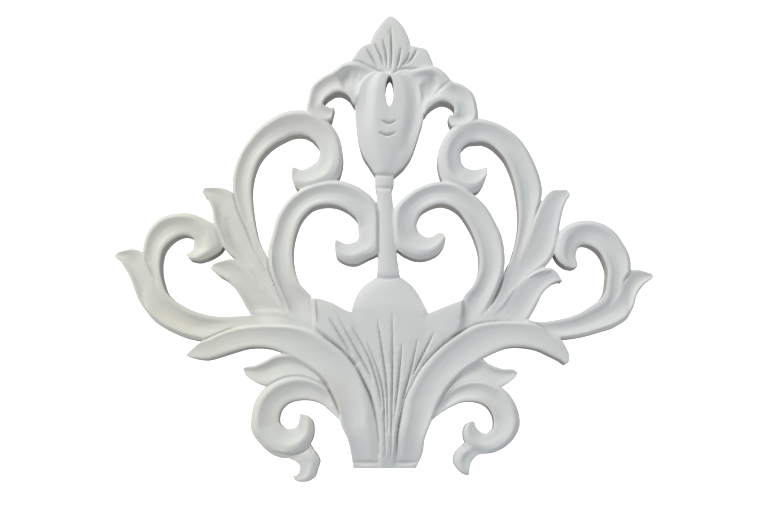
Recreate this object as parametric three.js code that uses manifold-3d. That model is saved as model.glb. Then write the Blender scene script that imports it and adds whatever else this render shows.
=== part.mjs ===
// A pierced scroll applique: one cast ornament with a flat back, carved on its front face.
// Millimetres, +Z up, the carved front faces -Y and the flat back lies in the plane Y = 0.
// The drawing below is unitsAcross equal units wide; across is X and up is Z.

import * as THREE from "three";
import Module from "manifold-3d";
import { mergeVertices } from "three/addons/utils/BufferGeometryUtils.js";

// Driving sizes of the whole casting
const castingWidth = 200;
const unitsAcross = 199.8;
const scale = castingWidth / unitsAcross;

// Heights of the carving above the flat back
const edgeHeight = 8.4;
const rimHeight = 10.2;
const troughHeight = 8.3;
const swellHeight = 9.4;
const webHeight = 6.6;

// Each band is drawn a little past the back, the next one a step further, and the back is
// then cut flat in one go
const backStock = 2;
const backStep = 0.05;

// Veins are V-shaped cuts that taper out at both ends
const veinWidth = 1.5;
const veinDepth = 1.3;

// Steps that a curved band takes from one drawn station to the next
const stepsPerStation = 1.15;

// A section runs across a band from its outer edge, share 0, to its inner edge, share 1.
// Each row is a share of the band's width and the height there.
const sections = {
  // A raised rim near the outer edge, a hollow behind it and a soft swell to the inner edge
  scroll: [
    [0, edgeHeight],
    [0.12, rimHeight],
    [0.38, troughHeight],
    [0.72, 0.5 * (troughHeight + swellHeight)],
    [1, swellHeight],
  ],
  // The same section in the eye of a volute, where the rim stands further in
  volute: [
    [0, edgeHeight],
    [0.38, rimHeight],
    [0.56, 0.5 * (troughHeight + swellHeight)],
    [0.8, troughHeight],
    [1, troughHeight],
  ],
  // A trunk at its foot: a hollow along its outer edge and a ridge towards its inner edge
  trunk: [
    [0, edgeHeight],
    [0.3, troughHeight],
    [0.66, rimHeight],
    [0.86, swellHeight],
    [1, edgeHeight],
  ],
  // A trunk at its tip, where the ridge has run out to the inner edge
  trunkTip: [
    [0, edgeHeight],
    [0.44, troughHeight],
    [0.8, swellHeight],
    [0.95, rimHeight],
    [1, swellHeight],
  ],
  // A full round back, for the stem, the petals and the fan
  round: [
    [0, edgeHeight],
    [0.2, swellHeight],
    [0.5, rimHeight],
    [0.8, swellHeight],
    [1, edgeHeight],
  ],
  // The low web that fills the roots between neighbouring bands
  web: [
    [0, webHeight],
    [0.25, webHeight],
    [0.5, webHeight],
    [0.75, webHeight],
    [1, webHeight],
  ],
};

// A band's stations run from root to tip. Each row is a point on its outer edge, then the
// point across from it on its inner edge. lift is the share of the full height along the band.
const bands = {
  leftTrunk: {
    from: "trunk",
    to: "trunkTip",
    lift: [0.72, 1, 1, 1, 1, 0.98, 0.9],
    stations: [
      [-13.1, -80.3, -2.8, -80.3],
      [-13.9, -75, -3.4, -75],
      [-15.1, -70, -3.6, -70],
      [-17.4, -65.1, -4.6, -64.5],
      [-18.8, -60.2, -5.2, -60],
      [-20.5, -55.2, -6.6, -55],
      [-22.8, -50, -9, -49.5],
      [-26.6, -46, -11.6, -44],
      [-31.5, -42.6, -15.4, -39.3],
      [-36.5, -39.8, -20.4, -35],
      [-41.5, -37.4, -26.5, -31.2],
      [-46.5, -36.4, -34, -28.8],
      [-52, -36.6, -42.5, -28.2],
      [-57.5, -38.1, -51, -28.4],
      [-62.5, -39.7, -59, -29.9],
      [-67, -40.8, -65.5, -32.6],
      [-70.6, -40.5, -69.6, -34.8],
      [-73, -39.9, -72.4, -37.2],
      [-74.2, -39.5, -74.3, -38.8],
    ],
  },
  rightTrunk: {
    from: "trunk",
    to: "trunkTip",
    lift: [0.72, 1, 1, 1, 1, 0.98, 0.9],
    stations: [
      [9.8, -80.3, 1.4, -80.3],
      [12.2, -75, 2, -75],
      [13, -70, 2.2, -70],
      [14.6, -65.5, 2.8, -65],
      [16.4, -61.3, 4.2, -60],
      [18, -57, 5.3, -55.6],
      [20.8, -52.6, 7.7, -51.4],
      [24.4, -48, 10.2, -46.4],
      [28.8, -44.4, 14, -41],
      [33.6, -41, 19, -36],
      [38.7, -38.3, 25, -31.6],
      [44, -36.4, 32, -28.2],
      [49.5, -36.3, 40, -27],
      [54.8, -37.3, 48, -27],
      [59.2, -39.3, 54.4, -27.9],
      [62.8, -41.1, 59, -30.6],
      [65, -42.5, 63.2, -33.6],
      [66, -41.4, 64.9, -36.3],
      [66.2, -39.8, 66, -38.6],
    ],
  },
  leftOuterScroll: {
    from: "scroll",
    to: "volute",
    lift: [0.8, 0.94, 1, 1, 1, 0.96],
    stations: [
      [-52.5, -31.5, -49.5, -24.4],
      [-66, -33.9, -58.6, -24.9],
      [-74, -32.9, -65.1, -24.7],
      [-80, -30.7, -70.8, -23.3],
      [-85.2, -27.8, -75.3, -21.3],
      [-89.2, -23.6, -79, -19],
      [-90.8, -19.2, -82.2, -16],
      [-90.6, -14, -83.7, -12.3],
      [-90.8, -8, -84.6, -8.1],
      [-91.3, -2.4, -84.6, -3.7],
      [-90.6, 3.6, -83.5, 0.2],
      [-88.6, 8.3, -81.3, 2.9],
      [-84.9, 11.8, -78.8, 4.7],
      [-79.3, 13.4, -76.2, 5.4],
      [-73.6, 13.4, -74, 4.9],
      [-68.6, 11.4, -72.6, 3.9],
      [-64.2, 8.7, -72.5, 2.4],
      [-62.1, 4.3, -72.7, 1.4],
      [-62, 0.5, -72.9, 0.4],
      [-64.9, -2.2, -73.4, -0.5],
      [-70.5, -4.3, -74.2, -1.4],
      [-73.9, -3.8, -75.3, -1.9],
    ],
  },
  rightOuterScroll: {
    from: "scroll",
    to: "volute",
    lift: [0.8, 0.94, 1, 1, 1, 0.96],
    stations: [
      [51, -33, 48.6, -25],
      [59.2, -33.3, 54.7, -26.9],
      [66.6, -33, 61.1, -26.3],
      [72.6, -32, 66.9, -25],
      [78.6, -30.3, 71.5, -23],
      [84.3, -28.4, 75.1, -20.7],
      [88.4, -25, 78.2, -18.5],
      [88.8, -19.6, 80, -15.6],
      [88.4, -14, 80.6, -12],
      [89.4, -8.2, 80.9, -8.2],
      [89.1, -2.9, 80, -4.7],
      [86.8, 2.2, 78.4, -1.5],
      [83.2, 7.1, 76.1, 0.7],
      [78, 10.1, 74, 1.7],
      [72.5, 10.8, 72.2, 1.9],
      [67.4, 9.6, 70.7, 1.2],
      [63.8, 7.2, 69.9, -0.2],
      [62, 2.6, 69.4, -1.6],
      [61.5, -1.5, 69.3, -3.2],
      [63, -4.5, 69.7, -4.6],
      [65.8, -6.6, 69.7, -5.9],
      [68.2, -7.1, 69.7, -6.7],
    ],
  },
  leftOuterLeaf: {
    from: "scroll",
    to: "scroll",
    lift: [0.9, 0.92, 0.9, 0.84],
    stations: [
      [-85, -27.9, -78.8, -21.7],
      [-89.2, -23.6, -83, -18.6],
      [-92.3, -19.2, -86, -14],
      [-94.1, -15, -88, -9.4],
      [-95.9, -10.4, -89.8, -5],
      [-97.8, -7.1, -91.4, -1.2],
      [-99.6, -4.5, -95, 0.1],
      [-101.4, -3.1, -99.1, -0.6],
      [-101.9, -2.3, -100.9, -1.2],
    ],
  },
  rightOuterLeaf: {
    from: "scroll",
    to: "scroll",
    lift: [0.9, 0.92, 0.9, 0.84],
    stations: [
      [82.2, -29.2, 78, -22],
      [87.6, -25.8, 82.2, -19.6],
      [90.3, -21.2, 85, -15.2],
      [91.4, -17.4, 86.9, -11.2],
      [93.2, -14.5, 89.2, -8.1],
      [95.2, -12.5, 92, -7.7],
      [97, -11.2, 95, -8.4],
      [97.9, -10.3, 97.3, -9],
    ],
  },
  leftUpperLeaf: {
    from: "scroll",
    to: "scroll",
    lift: [0.7, 0.84, 0.9, 0.94, 0.9],
    stations: [
      [-41, -24, -37, -24.5],
      [-45.6, -16.5, -41, -17],
      [-50.2, -10, -44.6, -9.6],
      [-54.6, -5.2, -47.6, -3],
      [-58.6, -2.2, -50.2, 3],
      [-61.6, 1, -52.6, 8],
      [-63.8, 5.5, -54.8, 12.6],
      [-65.2, 10, -56.6, 17],
      [-65.9, 15, -58.4, 21.2],
      [-67.5, 18.7, -60.9, 22.7],
      [-69.3, 20.9, -65, 23.3],
      [-69.6, 22.2, -68.8, 23.2],
    ],
  },
  rightUpperLeaf: {
    from: "scroll",
    to: "scroll",
    lift: [0.7, 0.84, 0.9, 0.94, 0.9],
    stations: [
      [40.5, -23.5, 36, -23.5],
      [46, -16, 41.4, -15],
      [51, -10.9, 43.9, -6.1],
      [55.6, -7.8, 47.4, -0.4],
      [59.5, -4.7, 50.2, 5],
      [61.7, -0.4, 52.6, 10],
      [62.8, 5, 54.8, 14.4],
      [63.7, 9.9, 56.7, 17.7],
      [64.7, 14.4, 58.7, 20.4],
      [66, 17.9, 60.9, 22.1],
      [67.3, 19.9, 64, 22.4],
      [67.5, 20.9, 66.3, 22.3],
    ],
  },
  leftLowerLeaf: {
    from: "scroll",
    to: "scroll",
    lift: [0.66, 0.8, 0.86, 0.86, 0.82],
    stations: [
      [-44, -29.5, -36, -27],
      [-49.6, -26.4, -40, -22.5],
      [-52.3, -22.4, -44, -18],
      [-54.6, -18.3, -47, -13.1],
      [-57.3, -14.2, -50.5, -8.6],
      [-60, -11.6, -54.6, -5.2],
      [-63, -9.8, -58.2, -3.6],
      [-65, -8, -62.1, -4.3],
      [-66.2, -6.9, -65.1, -5.3],
    ],
  },
  rightLowerLeaf: {
    from: "scroll",
    to: "scroll",
    lift: [0.66, 0.8, 0.86, 0.86, 0.82],
    stations: [
      [46, -29.5, 36.5, -26.5],
      [50.6, -27, 42, -21],
      [53, -23.7, 45.5, -15.8],
      [55, -20, 49.1, -11.4],
      [56.6, -16.8, 53.5, -9],
      [58.9, -14.2, 57.2, -7],
      [61.1, -12.5, 60.5, -7.2],
      [63.1, -11.8, 62.4, -8.9],
      [64.2, -12, 63.6, -10.8],
    ],
  },
  leftUpperScroll: {
    from: "scroll",
    to: "volute",
    lift: [0.8, 0.88, 0.96, 1, 1, 1, 0.94],
    stations: [
      [-47, -13, -41.5, -15.2],
      [-49.4, -4, -45.2, -3],
      [-52.2, 4, -48.5, 3.9],
      [-55.6, 13, -50.5, 13],
      [-58.2, 21.4, -51.3, 20],
      [-58.4, 26.4, -51.2, 25],
      [-57.6, 31, -50.3, 29.6],
      [-56, 35.6, -48.6, 33.8],
      [-53.2, 40.6, -46, 37.3],
      [-49.7, 45.2, -42.9, 40],
      [-45.3, 49, -39.6, 41.9],
      [-40.2, 51.8, -36.5, 43.3],
      [-34.4, 52.9, -33.5, 43.7],
      [-28.5, 52, -30.7, 43.1],
      [-23, 48.5, -28, 41],
      [-19.3, 43.7, -26.2, 38.3],
      [-17.4, 37.4, -26.1, 35.6],
      [-17.5, 31.4, -26.9, 33.4],
      [-19.6, 26, -28.7, 32.1],
      [-24.6, 23.2, -30.9, 30.7],
      [-30.4, 22, -33.3, 30.3],
      [-34.6, 23.2, -34.8, 30.9],
      [-36.4, 27, -36.2, 31.2],
    ],
  },
  rightUpperScroll: {
    from: "scroll",
    to: "volute",
    lift: [0.8, 0.88, 0.96, 1, 1, 1, 0.94],
    stations: [
      [46.6, -12, 42, -13],
      [50, -3, 45, -4.3],
      [52.6, 5.6, 47.5, 4],
      [55.2, 13.6, 48.4, 12],
      [57.2, 21.2, 47.8, 20],
      [56.6, 26.4, 46.9, 25],
      [54.9, 31.5, 45.3, 30.1],
      [52.5, 36.6, 43.2, 34.5],
      [49.1, 41.7, 40.5, 37.7],
      [44.4, 45.7, 37.8, 39.9],
      [39, 48.4, 35.1, 40.9],
      [33, 49.6, 32.7, 40.8],
      [27.6, 48.4, 30.3, 40.6],
      [23.3, 45.6, 28.3, 39.3],
      [19.9, 40.8, 27, 37.4],
      [18.2, 35.5, 26.9, 35],
      [18.6, 30, 27.2, 32.8],
      [20.4, 25.2, 28.5, 31.2],
      [24.6, 22.4, 30.2, 30.5],
      [29.4, 20.8, 32, 30.2],
      [33.2, 22, 33.9, 30.5],
      [35.5, 25, 35.6, 30.9],
      [36.7, 28.2, 36.9, 31.1],
    ],
  },
  leftInnerScroll: {
    from: "scroll",
    to: "volute",
    lift: [0.86, 0.98, 1, 1.02, 1.02, 1, 1, 0.94],
    stations: [
      [-34, -27.6, -27, -27.6],
      [-37.2, -23.4, -27.6, -22.4],
      [-40.2, -18.4, -28.7, -17.7],
      [-42.9, -12.5, -32.8, -13],
      [-44.4, -6, -35.1, -7],
      [-44.8, -0.4, -35.7, -1],
      [-43.4, 5.4, -34.9, 5.1],
      [-41.7, 11.8, -32.5, 11.4],
      [-38.2, 17.8, -28.7, 15.4],
      [-32.6, 22.6, -24.7, 16.7],
      [-25.6, 25.2, -20.9, 16.7],
      [-18.6, 25.8, -17.4, 15.6],
      [-11.7, 23.5, -14.2, 13.6],
      [-6.2, 19.3, -11.8, 10.8],
      [-2.9, 13.4, -11.5, 7.4],
      [-2.4, 5, -11.3, 5.1],
      [-4, -1.2, -12, 3.4],
      [-8.2, -3.6, -13.4, 2.6],
      [-12.6, -5.5, -15, 2.2],
      [-16.5, -4.9, -16.7, 2.3],
      [-19.4, -2.8, -18.4, 3.1],
      [-20.2, 1.1, -19.9, 3.6],
    ],
  },
  rightInnerScroll: {
    from: "scroll",
    to: "volute",
    lift: [0.86, 0.98, 1, 1.02, 1.02, 1, 1, 0.94],
    stations: [
      [32.6, -27.5, 26, -27.5],
      [35.6, -23.7, 26.8, -22.4],
      [38.6, -18.7, 27.6, -17.6],
      [41, -13, 30.9, -13.6],
      [42.7, -7, 33.2, -8],
      [42.8, -1, 33.3, -1.5],
      [41.8, 4.8, 31.6, 4.5],
      [39.3, 10.5, 29, 9.8],
      [36.2, 15.8, 26, 14],
      [31.5, 20.5, 22.8, 16.2],
      [25.5, 24.4, 19.7, 17],
      [18.8, 25.4, 16.7, 16.5],
      [11.8, 23.6, 14, 15.3],
      [6.2, 20, 12, 13.8],
      [2.2, 15.8, 10.8, 11.5],
      [1.2, 7, 10.3, 8.8],
      [2.8, 0.4, 11, 6.7],
      [6.5, -2.5, 12.4, 5.4],
      [10.9, -3.8, 14, 4.7],
      [15, -3.2, 15.7, 4.7],
      [18.5, -1.3, 17.1, 5.6],
      [20.7, 2, 18.5, 6.2],
      [21.1, 4.2, 20, 6],
    ],
  },
  leftLowerScroll: {
    from: "scroll",
    to: "volute",
    lift: [0.8, 0.9, 0.96, 1, 1, 1, 1, 0.94],
    stations: [
      [-18.6, -57, -17.2, -63.8],
      [-22.6, -51.4, -21.5, -59.9],
      [-27.4, -48.2, -25, -57],
      [-33, -46.6, -29, -55.7],
      [-38.6, -47.2, -32.7, -55.6],
      [-43, -49.2, -36, -56.3],
      [-46.9, -52.6, -38.3, -57.8],
      [-49.3, -56.9, -39.7, -59.9],
      [-50.3, -62, -40.2, -62],
      [-50.1, -67, -40, -63.9],
      [-47.2, -71.3, -38.9, -65.1],
      [-43.2, -75, -37.7, -65.8],
      [-38.5, -76.7, -36.4, -66],
      [-33.8, -75.7, -35.2, -65.9],
      [-30.2, -73, -34, -65.4],
      [-27.9, -69.6, -33.3, -64.6],
      [-27.4, -66, -33, -63.4],
      [-28, -63, -32.7, -61.9],
      [-29.8, -61.2, -32.5, -60.5],
    ],
  },
  rightLowerScroll: {
    from: "scroll",
    to: "volute",
    lift: [0.8, 0.9, 0.96, 1, 1, 1, 1, 0.94],
    stations: [
      [15.4, -58.4, 15.2, -63.5],
      [20.2, -54.4, 19.5, -60],
      [24, -50.8, 23.3, -57.9],
      [28.4, -48.8, 27, -56.4],
      [33.2, -48.4, 30.3, -56.2],
      [38, -49.6, 33.2, -56.7],
      [42.3, -51.9, 35.5, -57.9],
      [45.4, -55.7, 37, -59.6],
      [47.3, -60.4, 38, -61.7],
      [47.6, -65, 38.3, -63.8],
      [45.5, -69.6, 38, -65.8],
      [42, -72.9, 36.8, -67.1],
      [37.8, -74.8, 35.6, -67.8],
      [33.5, -75.1, 34.6, -67.7],
      [29.8, -73.5, 33.6, -67.3],
      [27.6, -70.5, 32.6, -66.6],
      [27.1, -67, 31.6, -65.5],
      [28.2, -64.2, 31.3, -64],
      [29.5, -63.4, 30.6, -63.3],
    ],
  },
  leftLowerTip: {
    from: "scroll",
    to: "scroll",
    lift: [0.8, 0.88, 0.9, 0.86],
    stations: [
      [-22.4, -48.6, -20.8, -53],
      [-28.6, -42.8, -26.8, -50],
      [-35.8, -39, -33.6, -48.8],
      [-41.2, -39, -39.8, -49.6],
      [-45.7, -41.2, -43.6, -50.6],
      [-49.5, -43, -46.9, -50],
      [-52.1, -43.4, -50.5, -48.3],
      [-53.6, -44, -52.8, -46.4],
    ],
  },
  rightLowerTip: {
    from: "scroll",
    to: "scroll",
    lift: [0.8, 0.88, 0.9, 0.86],
    stations: [
      [18.6, -54, 18, -58.4],
      [23.4, -48, 22.8, -53.4],
      [28.8, -43.4, 28, -50.6],
      [33.8, -40.4, 33, -50.2],
      [36.4, -42.2, 36.6, -50.8],
      [39.2, -43.5, 39.4, -51.4],
      [42.6, -44.3, 42.4, -50.3],
      [45.6, -44.5, 45, -48.5],
      [47.2, -45.6, 46.6, -47],
    ],
  },
  leftTail: {
    from: "round",
    to: "round",
    lift: [0.84, 0.9, 0.92, 0.9, 0.8],
    stations: [
      [-29.4, -70.4, -38, -73.6],
      [-27.9, -73, -36, -76.9],
      [-26.1, -75.4, -34, -77.8],
      [-25.2, -77.6, -32.8, -78.9],
      [-26, -80.5, -32.5, -80.3],
      [-27, -83.4, -32.8, -81.7],
      [-29.5, -85.1, -33.3, -82.5],
      [-32.3, -85.3, -34, -82.9],
      [-34.2, -84.6, -35.1, -83.1],
    ],
  },
  rightTail: {
    from: "round",
    to: "round",
    lift: [0.84, 0.9, 0.92, 0.9, 0.8],
    stations: [
      [28.4, -70, 36.4, -73],
      [26.6, -72.2, 34.5, -75],
      [24.6, -74, 32.5, -75.5],
      [23.6, -76.1, 31, -76.7],
      [23.6, -78.4, 29.9, -78.2],
      [25, -80.6, 29.3, -80.2],
      [26.8, -82.3, 29.1, -82],
      [28, -82.9, 29, -82.8],
    ],
  },
  stem: {
    from: "round",
    to: "round",
    lift: [0.98, 0.94, 0.94, 0.96],
    stations: [
      [-5, -13, 4.6, -13],
      [-4.4, -8, 3.7, -8],
      [-4.2, -2, 2.9, -2],
      [-4.3, 8, 2.4, 8],
      [-4.4, 18, 1.4, 18],
      [-4.7, 21.6, 1, 22],
      [-5.2, 25, 1.8, 25.5],
      [-5.1, 29, 1.8, 28.6],
    ],
  },
  fanCentre: {
    from: "round",
    to: "round",
    lift: [0.72, 1, 1, 1.04, 1.06, 1, 0.9],
    stations: [
      [-3.6, -80.3, 2.4, -80.3],
      [-3.8, -74, 2.4, -74],
      [-4.8, -66, 3.2, -66],
      [-6.9, -58, 5.2, -58],
      [-9, -48, 8.8, -48],
      [-12.4, -38, 13, -38],
      [-14.2, -29, 14.8, -29.6],
      [-13.8, -23.3, 14.4, -24.3],
      [-13, -20, 12.8, -20.6],
      [-11.4, -16.3, 10.8, -16.8],
      [-8.7, -13.1, 8.2, -13.3],
      [-5.1, -10.7, 4.8, -10.6],
    ],
  },
  fanLeft: {
    from: "round",
    to: "round",
    lift: [0.9, 1, 1.04, 1.04, 0.98],
    stations: [
      [-7.6, -56, -5, -55],
      [-12.4, -44, -5, -45],
      [-17.6, -37.2, -7, -37],
      [-23, -33, -9.5, -30],
      [-27.6, -29, -11.5, -24.8],
      [-28, -25, -16.6, -22.5],
      [-28.4, -21.4, -20.5, -20.3],
      [-28.5, -18.3, -25.1, -18.7],
    ],
  },
  fanRight: {
    from: "round",
    to: "round",
    lift: [0.9, 1, 1.04, 1.04, 0.98],
    stations: [
      [6.6, -56, 4.5, -55],
      [12.4, -43.5, 5, -45],
      [18.2, -37, 7, -37],
      [23, -33, 9.5, -30],
      [26.4, -29.4, 11.8, -25.4],
      [27, -26, 17.3, -22.8],
      [27.3, -22.5, 21.5, -21.1],
      [27.3, -19, 25.4, -19.6],
    ],
  },
  leftWeb: {
    from: "web",
    to: "web",
    lift: [1, 1],
    stations: [
      [-53, -30, -50.8, -23.7],
      [-44, -33, -44.8, -4],
      [-34, -36, -36, -20],
      [-24, -38, -26, -24],
      [-12, -48, -12, -30],
    ],
  },
  rightWeb: {
    from: "web",
    to: "web",
    lift: [1, 1],
    stations: [
      [54, -30, 50.5, -25.6],
      [45, -32, 43, -8.4],
      [34, -35, 35, -20],
      [24, -38, 25.6, -25],
      [12, -48, 12, -30],
    ],
  },
  palmetteCentre: {
    from: "round",
    to: "round",
    lift: [0.9, 0.94, 0.92, 0.86],
    stations: [
      [-5, 63, 6, 63],
      [-6.9, 73.4, 8.2, 73.4],
      [-7, 78.7, 8.2, 78.3],
      [-5.9, 82.1, 7.1, 81.9],
      [-3.8, 85.5, 5.3, 85.5],
      [-1.5, 88.2, 3.1, 88],
      [-0.2, 89.5, 1.4, 89.5],
    ],
  },
  palmetteLeft: {
    from: "round",
    to: "round",
    lift: [0.9, 0.92, 0.88],
    stations: [
      [-10, 63, 0, 63],
      [-14.2, 71.4, -3, 70],
      [-12.9, 74.1, -5, 74],
      [-10.5, 77.2, -6, 77.4],
      [-8.1, 78.6, -6.4, 78.9],
    ],
  },
  palmetteRight: {
    from: "round",
    to: "round",
    lift: [0.9, 0.92, 0.88],
    stations: [
      [13, 62, 1, 63],
      [16.7, 69.8, 5, 70],
      [15.8, 73.2, 7, 74],
      [14, 76.5, 8.2, 77.2],
      [11.3, 77.2, 8, 78.2],
    ],
  },
  leftHook: {
    from: "scroll",
    to: "volute",
    lift: [1.04, 1.06, 1, 1, 0.94],
    stations: [
      [-5, 68.6, -7, 54],
      [-12.8, 71.7, -12.7, 54.6],
      [-17.4, 70.8, -15, 57.8],
      [-21.3, 67.7, -17.7, 59.6],
      [-25.4, 65.4, -20, 59.7],
      [-29, 62.1, -22, 58.7],
      [-30.3, 57, -24.2, 56.8],
      [-30.8, 53, -24.8, 55],
      [-28.6, 50, -23, 54.1],
      [-24, 48.1, -21.8, 53.8],
      [-21.6, 49.2, -20.5, 54.2],
    ],
  },
  rightHook: {
    from: "scroll",
    to: "volute",
    lift: [1.04, 1.06, 1, 1, 0.94],
    stations: [
      [5.6, 67.6, 7, 52],
      [12.2, 70, 13.2, 51.1],
      [17.3, 69.8, 14.7, 53.1],
      [21.1, 67.2, 17, 55],
      [23.7, 64.1, 19.7, 56.2],
      [27.9, 62.4, 22.5, 55.6],
      [31.6, 59.2, 24.4, 53.9],
      [33.2, 54, 24.4, 51.9],
      [33.3, 49.4, 24, 50.9],
      [29.6, 46.4, 23.5, 51.1],
      [25.6, 45.8, 22.4, 50.8],
      [23.5, 46.6, 22.5, 48.6],
    ],
  },
  flower: {
    from: "round",
    to: "round",
    lift: [1, 1.14, 1.18, 1.16, 1.06],
    stations: [
      [-5.1, 28.1, 1.9, 27.9],
      [-7.4, 31.7, 5.4, 31.1],
      [-10, 36, 8, 34.8],
      [-11.4, 41, 9.8, 39.1],
      [-12.3, 46.5, 11.5, 44.6],
      [-12.7, 52, 12.9, 49.6],
      [-12.4, 58, 13.2, 56],
      [-10.6, 64, 11.4, 63],
      [-6, 67.6, 6.6, 66.6],
    ],
  },
};

// Veins in the fan, the palmette and the flower; each follows its points from end to end
const veins = [
  [[-22.3, -26], [-20, -29.4], [-17, -34]],
  [[-19, -25], [-16, -31], [-11, -42]],
  [[-13.5, -29.5], [-9.2, -39.6], [-5.9, -49]],
  [[-7, -36], [-4.6, -45.5], [-2.8, -58.5]],
  [[-4.2, -26.5], [-2.2, -46], [-1.2, -73]],
  [[1.3, -23], [1, -42], [0.3, -60], [-0.3, -75.5]],
  [[4.7, -38], [2.8, -54], [2.2, -66], [2.3, -77]],
  [[10.4, -34], [6.6, -49], [4, -62]],
  [[16.8, -31.5], [12, -39.4], [9, -46.5]],
  [[-3.8, -77], [-4, -67], [-6.4, -57], [-10.6, -46], [-17, -37.4]],
  [[7, -53], [10, -46.6], [16, -38.8]],
  [[1, 84], [1.4, 76], [0.9, 66.5]],
  [[-2.2, 80.5], [-1.5, 75], [-0.4, 68.6]],
  [[-6.7, 77], [-5, 73.6], [-3.8, 70.6]],
  [[-9.3, 76], [-7.2, 73], [-5.4, 71]],
  [[8, 77], [6.9, 73.4], [5.6, 70.3]],
  [[10.6, 75.6], [9.4, 73.4], [8, 71.4]],
  [[4.2, 77], [3.9, 73], [3.1, 69.4]],
  [[-3.4, 48.4], [-2, 47.2], [0, 46.9], [2, 47.2], [3.2, 48.3]],
  [[-4, 44.2], [-2.4, 42.8], [-0.4, 42.3], [1.6, 42.7], [2.6, 43.4]],
];

// The eye through the flower is a pointed oval that leans a little
const eye = { x: 0.2, z: 59.9, halfWidth: 1.65, halfHeight: 5.9, lean: 0.1 };

const wasm = await Module();
wasm.setup();

// A closed geometry as a solid, with its doubled vertices merged and its faces turned outward
function solidFrom(geometry) {
  geometry.deleteAttribute("normal");
  geometry.deleteAttribute("uv");
  const merged = mergeVertices(geometry, 1e-4);
  const vertProperties = merged.attributes.position.array;
  const triVerts = new Uint32Array(merged.index.array);
  const solid = new wasm.Manifold(new wasm.Mesh({ numProp: 3, vertProperties, triVerts }));
  if (solid.volume() > 0) {
    return solid;
  }
  triVerts.reverse();
  return new wasm.Manifold(new wasm.Mesh({ numProp: 3, vertProperties, triVerts }));
}

// The value at share t of a list of evenly spread values
function along(values, t) {
  const place = t * (values.length - 1);
  const before = Math.min(Math.floor(place), values.length - 2);
  return THREE.MathUtils.lerp(values[before], values[before + 1], place - before);
}

// One of a band's edges as a smooth curve; first is where the edge's X stands in a station
function edgeCurve(stations, first) {
  const points = stations.map((row) => new THREE.Vector3(row[first], 0, row[first + 1]));
  return new THREE.CatmullRomCurve3(points, false, "centripetal");
}

// A closed loft through rings of equal length, with a flat cap on the first and the last ring
function loft(rings, cap) {
  const around = rings[0].length;
  const positions = rings.flat().flatMap((point) => [point.x, point.y, point.z]);
  const index = [];
  for (let ring = 0; ring < rings.length - 1; ring += 1) {
    for (let corner = 0; corner < around; corner += 1) {
      const next = (corner + 1) % around;
      const a = ring * around + corner;
      const b = ring * around + next;
      index.push(a, b, b + around, a, b + around, a + around);
    }
  }
  const last = (rings.length - 1) * around;
  for (const [a, b, c] of cap) {
    index.push(a, c, b, last + a, last + b, last + c);
  }
  const geometry = new THREE.BufferGeometry();
  geometry.setAttribute("position", new THREE.Float32BufferAttribute(positions, 3));
  geometry.setIndex(index);
  return geometry;
}

// A band with its carved section, swept from root to tip with its underside at Y = under
function bandSolid(band, under) {
  const outer = edgeCurve(band.stations, 0);
  const inner = edgeCurve(band.stations, 2);
  const start = sections[band.from];
  const end = sections[band.to];
  const steps = Math.round((band.stations.length - 1) * stepsPerStation);
  const rings = [];
  for (let step = 0; step <= steps; step += 1) {
    const t = step / steps;
    const outerPoint = outer.getPoint(t);
    const innerPoint = inner.getPoint(t);
    const lift = along(band.lift, t);
    const ring = [outerPoint.clone().multiplyScalar(scale).setY(under)];
    for (let row = 0; row < start.length; row += 1) {
      const share = THREE.MathUtils.lerp(start[row][0], end[row][0], t);
      const height = THREE.MathUtils.lerp(start[row][1], end[row][1], t) * lift;
      const point = outerPoint.clone().lerp(innerPoint, share).multiplyScalar(scale);
      point.y = -height;
      ring.push(point);
    }
    ring.push(innerPoint.clone().multiplyScalar(scale).setY(under));
    rings.push(ring);
  }
  const outline = rings[0].map((point, corner) => new THREE.Vector2(corner, point.y));
  outline[0].x = 1;
  outline[outline.length - 1].x = outline.length - 2;
  const cap = THREE.ShapeUtils.triangulateShape(outline, []);
  return solidFrom(loft(rings, cap));
}

// The cutter of one vein: a wedge that follows the vein, deepest in the middle
function veinSolid(points) {
  const path = new THREE.CatmullRomCurve3(points.map(([x, z]) => new THREE.Vector3(x, 0, z)));
  const steps = Math.max(4, points.length + 1);
  const above = 1.6 * rimHeight;
  const rings = [];
  for (let step = 0; step <= steps; step += 1) {
    const t = step / steps;
    const taper = 0.25 + 0.75 * Math.sin(Math.PI * t);
    const centre = path.getPoint(t).multiplyScalar(scale);
    const way = path.getTangent(t);
    const side = new THREE.Vector3(-way.z, 0, way.x).multiplyScalar(0.5 * veinWidth * taper);
    const floor = rimHeight - veinDepth * taper;
    const spread = (above - floor) / veinDepth / taper;
    const left = centre.clone().addScaledVector(side, spread);
    const right = centre.clone().addScaledVector(side, -spread);
    left.y = -above;
    right.y = -above;
    centre.y = -floor;
    rings.push([left, right, centre]);
  }
  return solidFrom(loft(rings, [[0, 1, 2]]));
}

// The pointed oval eye, cut through the whole casting
function eyeSolid() {
  const shape = new THREE.Shape();
  const foot = new THREE.Vector2(eye.x - eye.lean, eye.z - eye.halfHeight);
  const top = new THREE.Vector2(eye.x + eye.lean, eye.z + eye.halfHeight);
  shape.moveTo(foot.x, foot.y);
  shape.quadraticCurveTo(eye.x + 2 * eye.halfWidth, eye.z, top.x, top.y);
  shape.quadraticCurveTo(eye.x - 2 * eye.halfWidth, eye.z, foot.x, foot.y);
  const depth = 4 * rimHeight;
  const geometry = new THREE.ExtrudeGeometry(shape, { depth, bevelEnabled: false, curveSegments: 5 });
  geometry.translate(0, 0, -0.5 * depth);
  geometry.rotateX(0.5 * Math.PI);
  geometry.scale(scale, 1, scale);
  return solidFrom(geometry);
}

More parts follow.
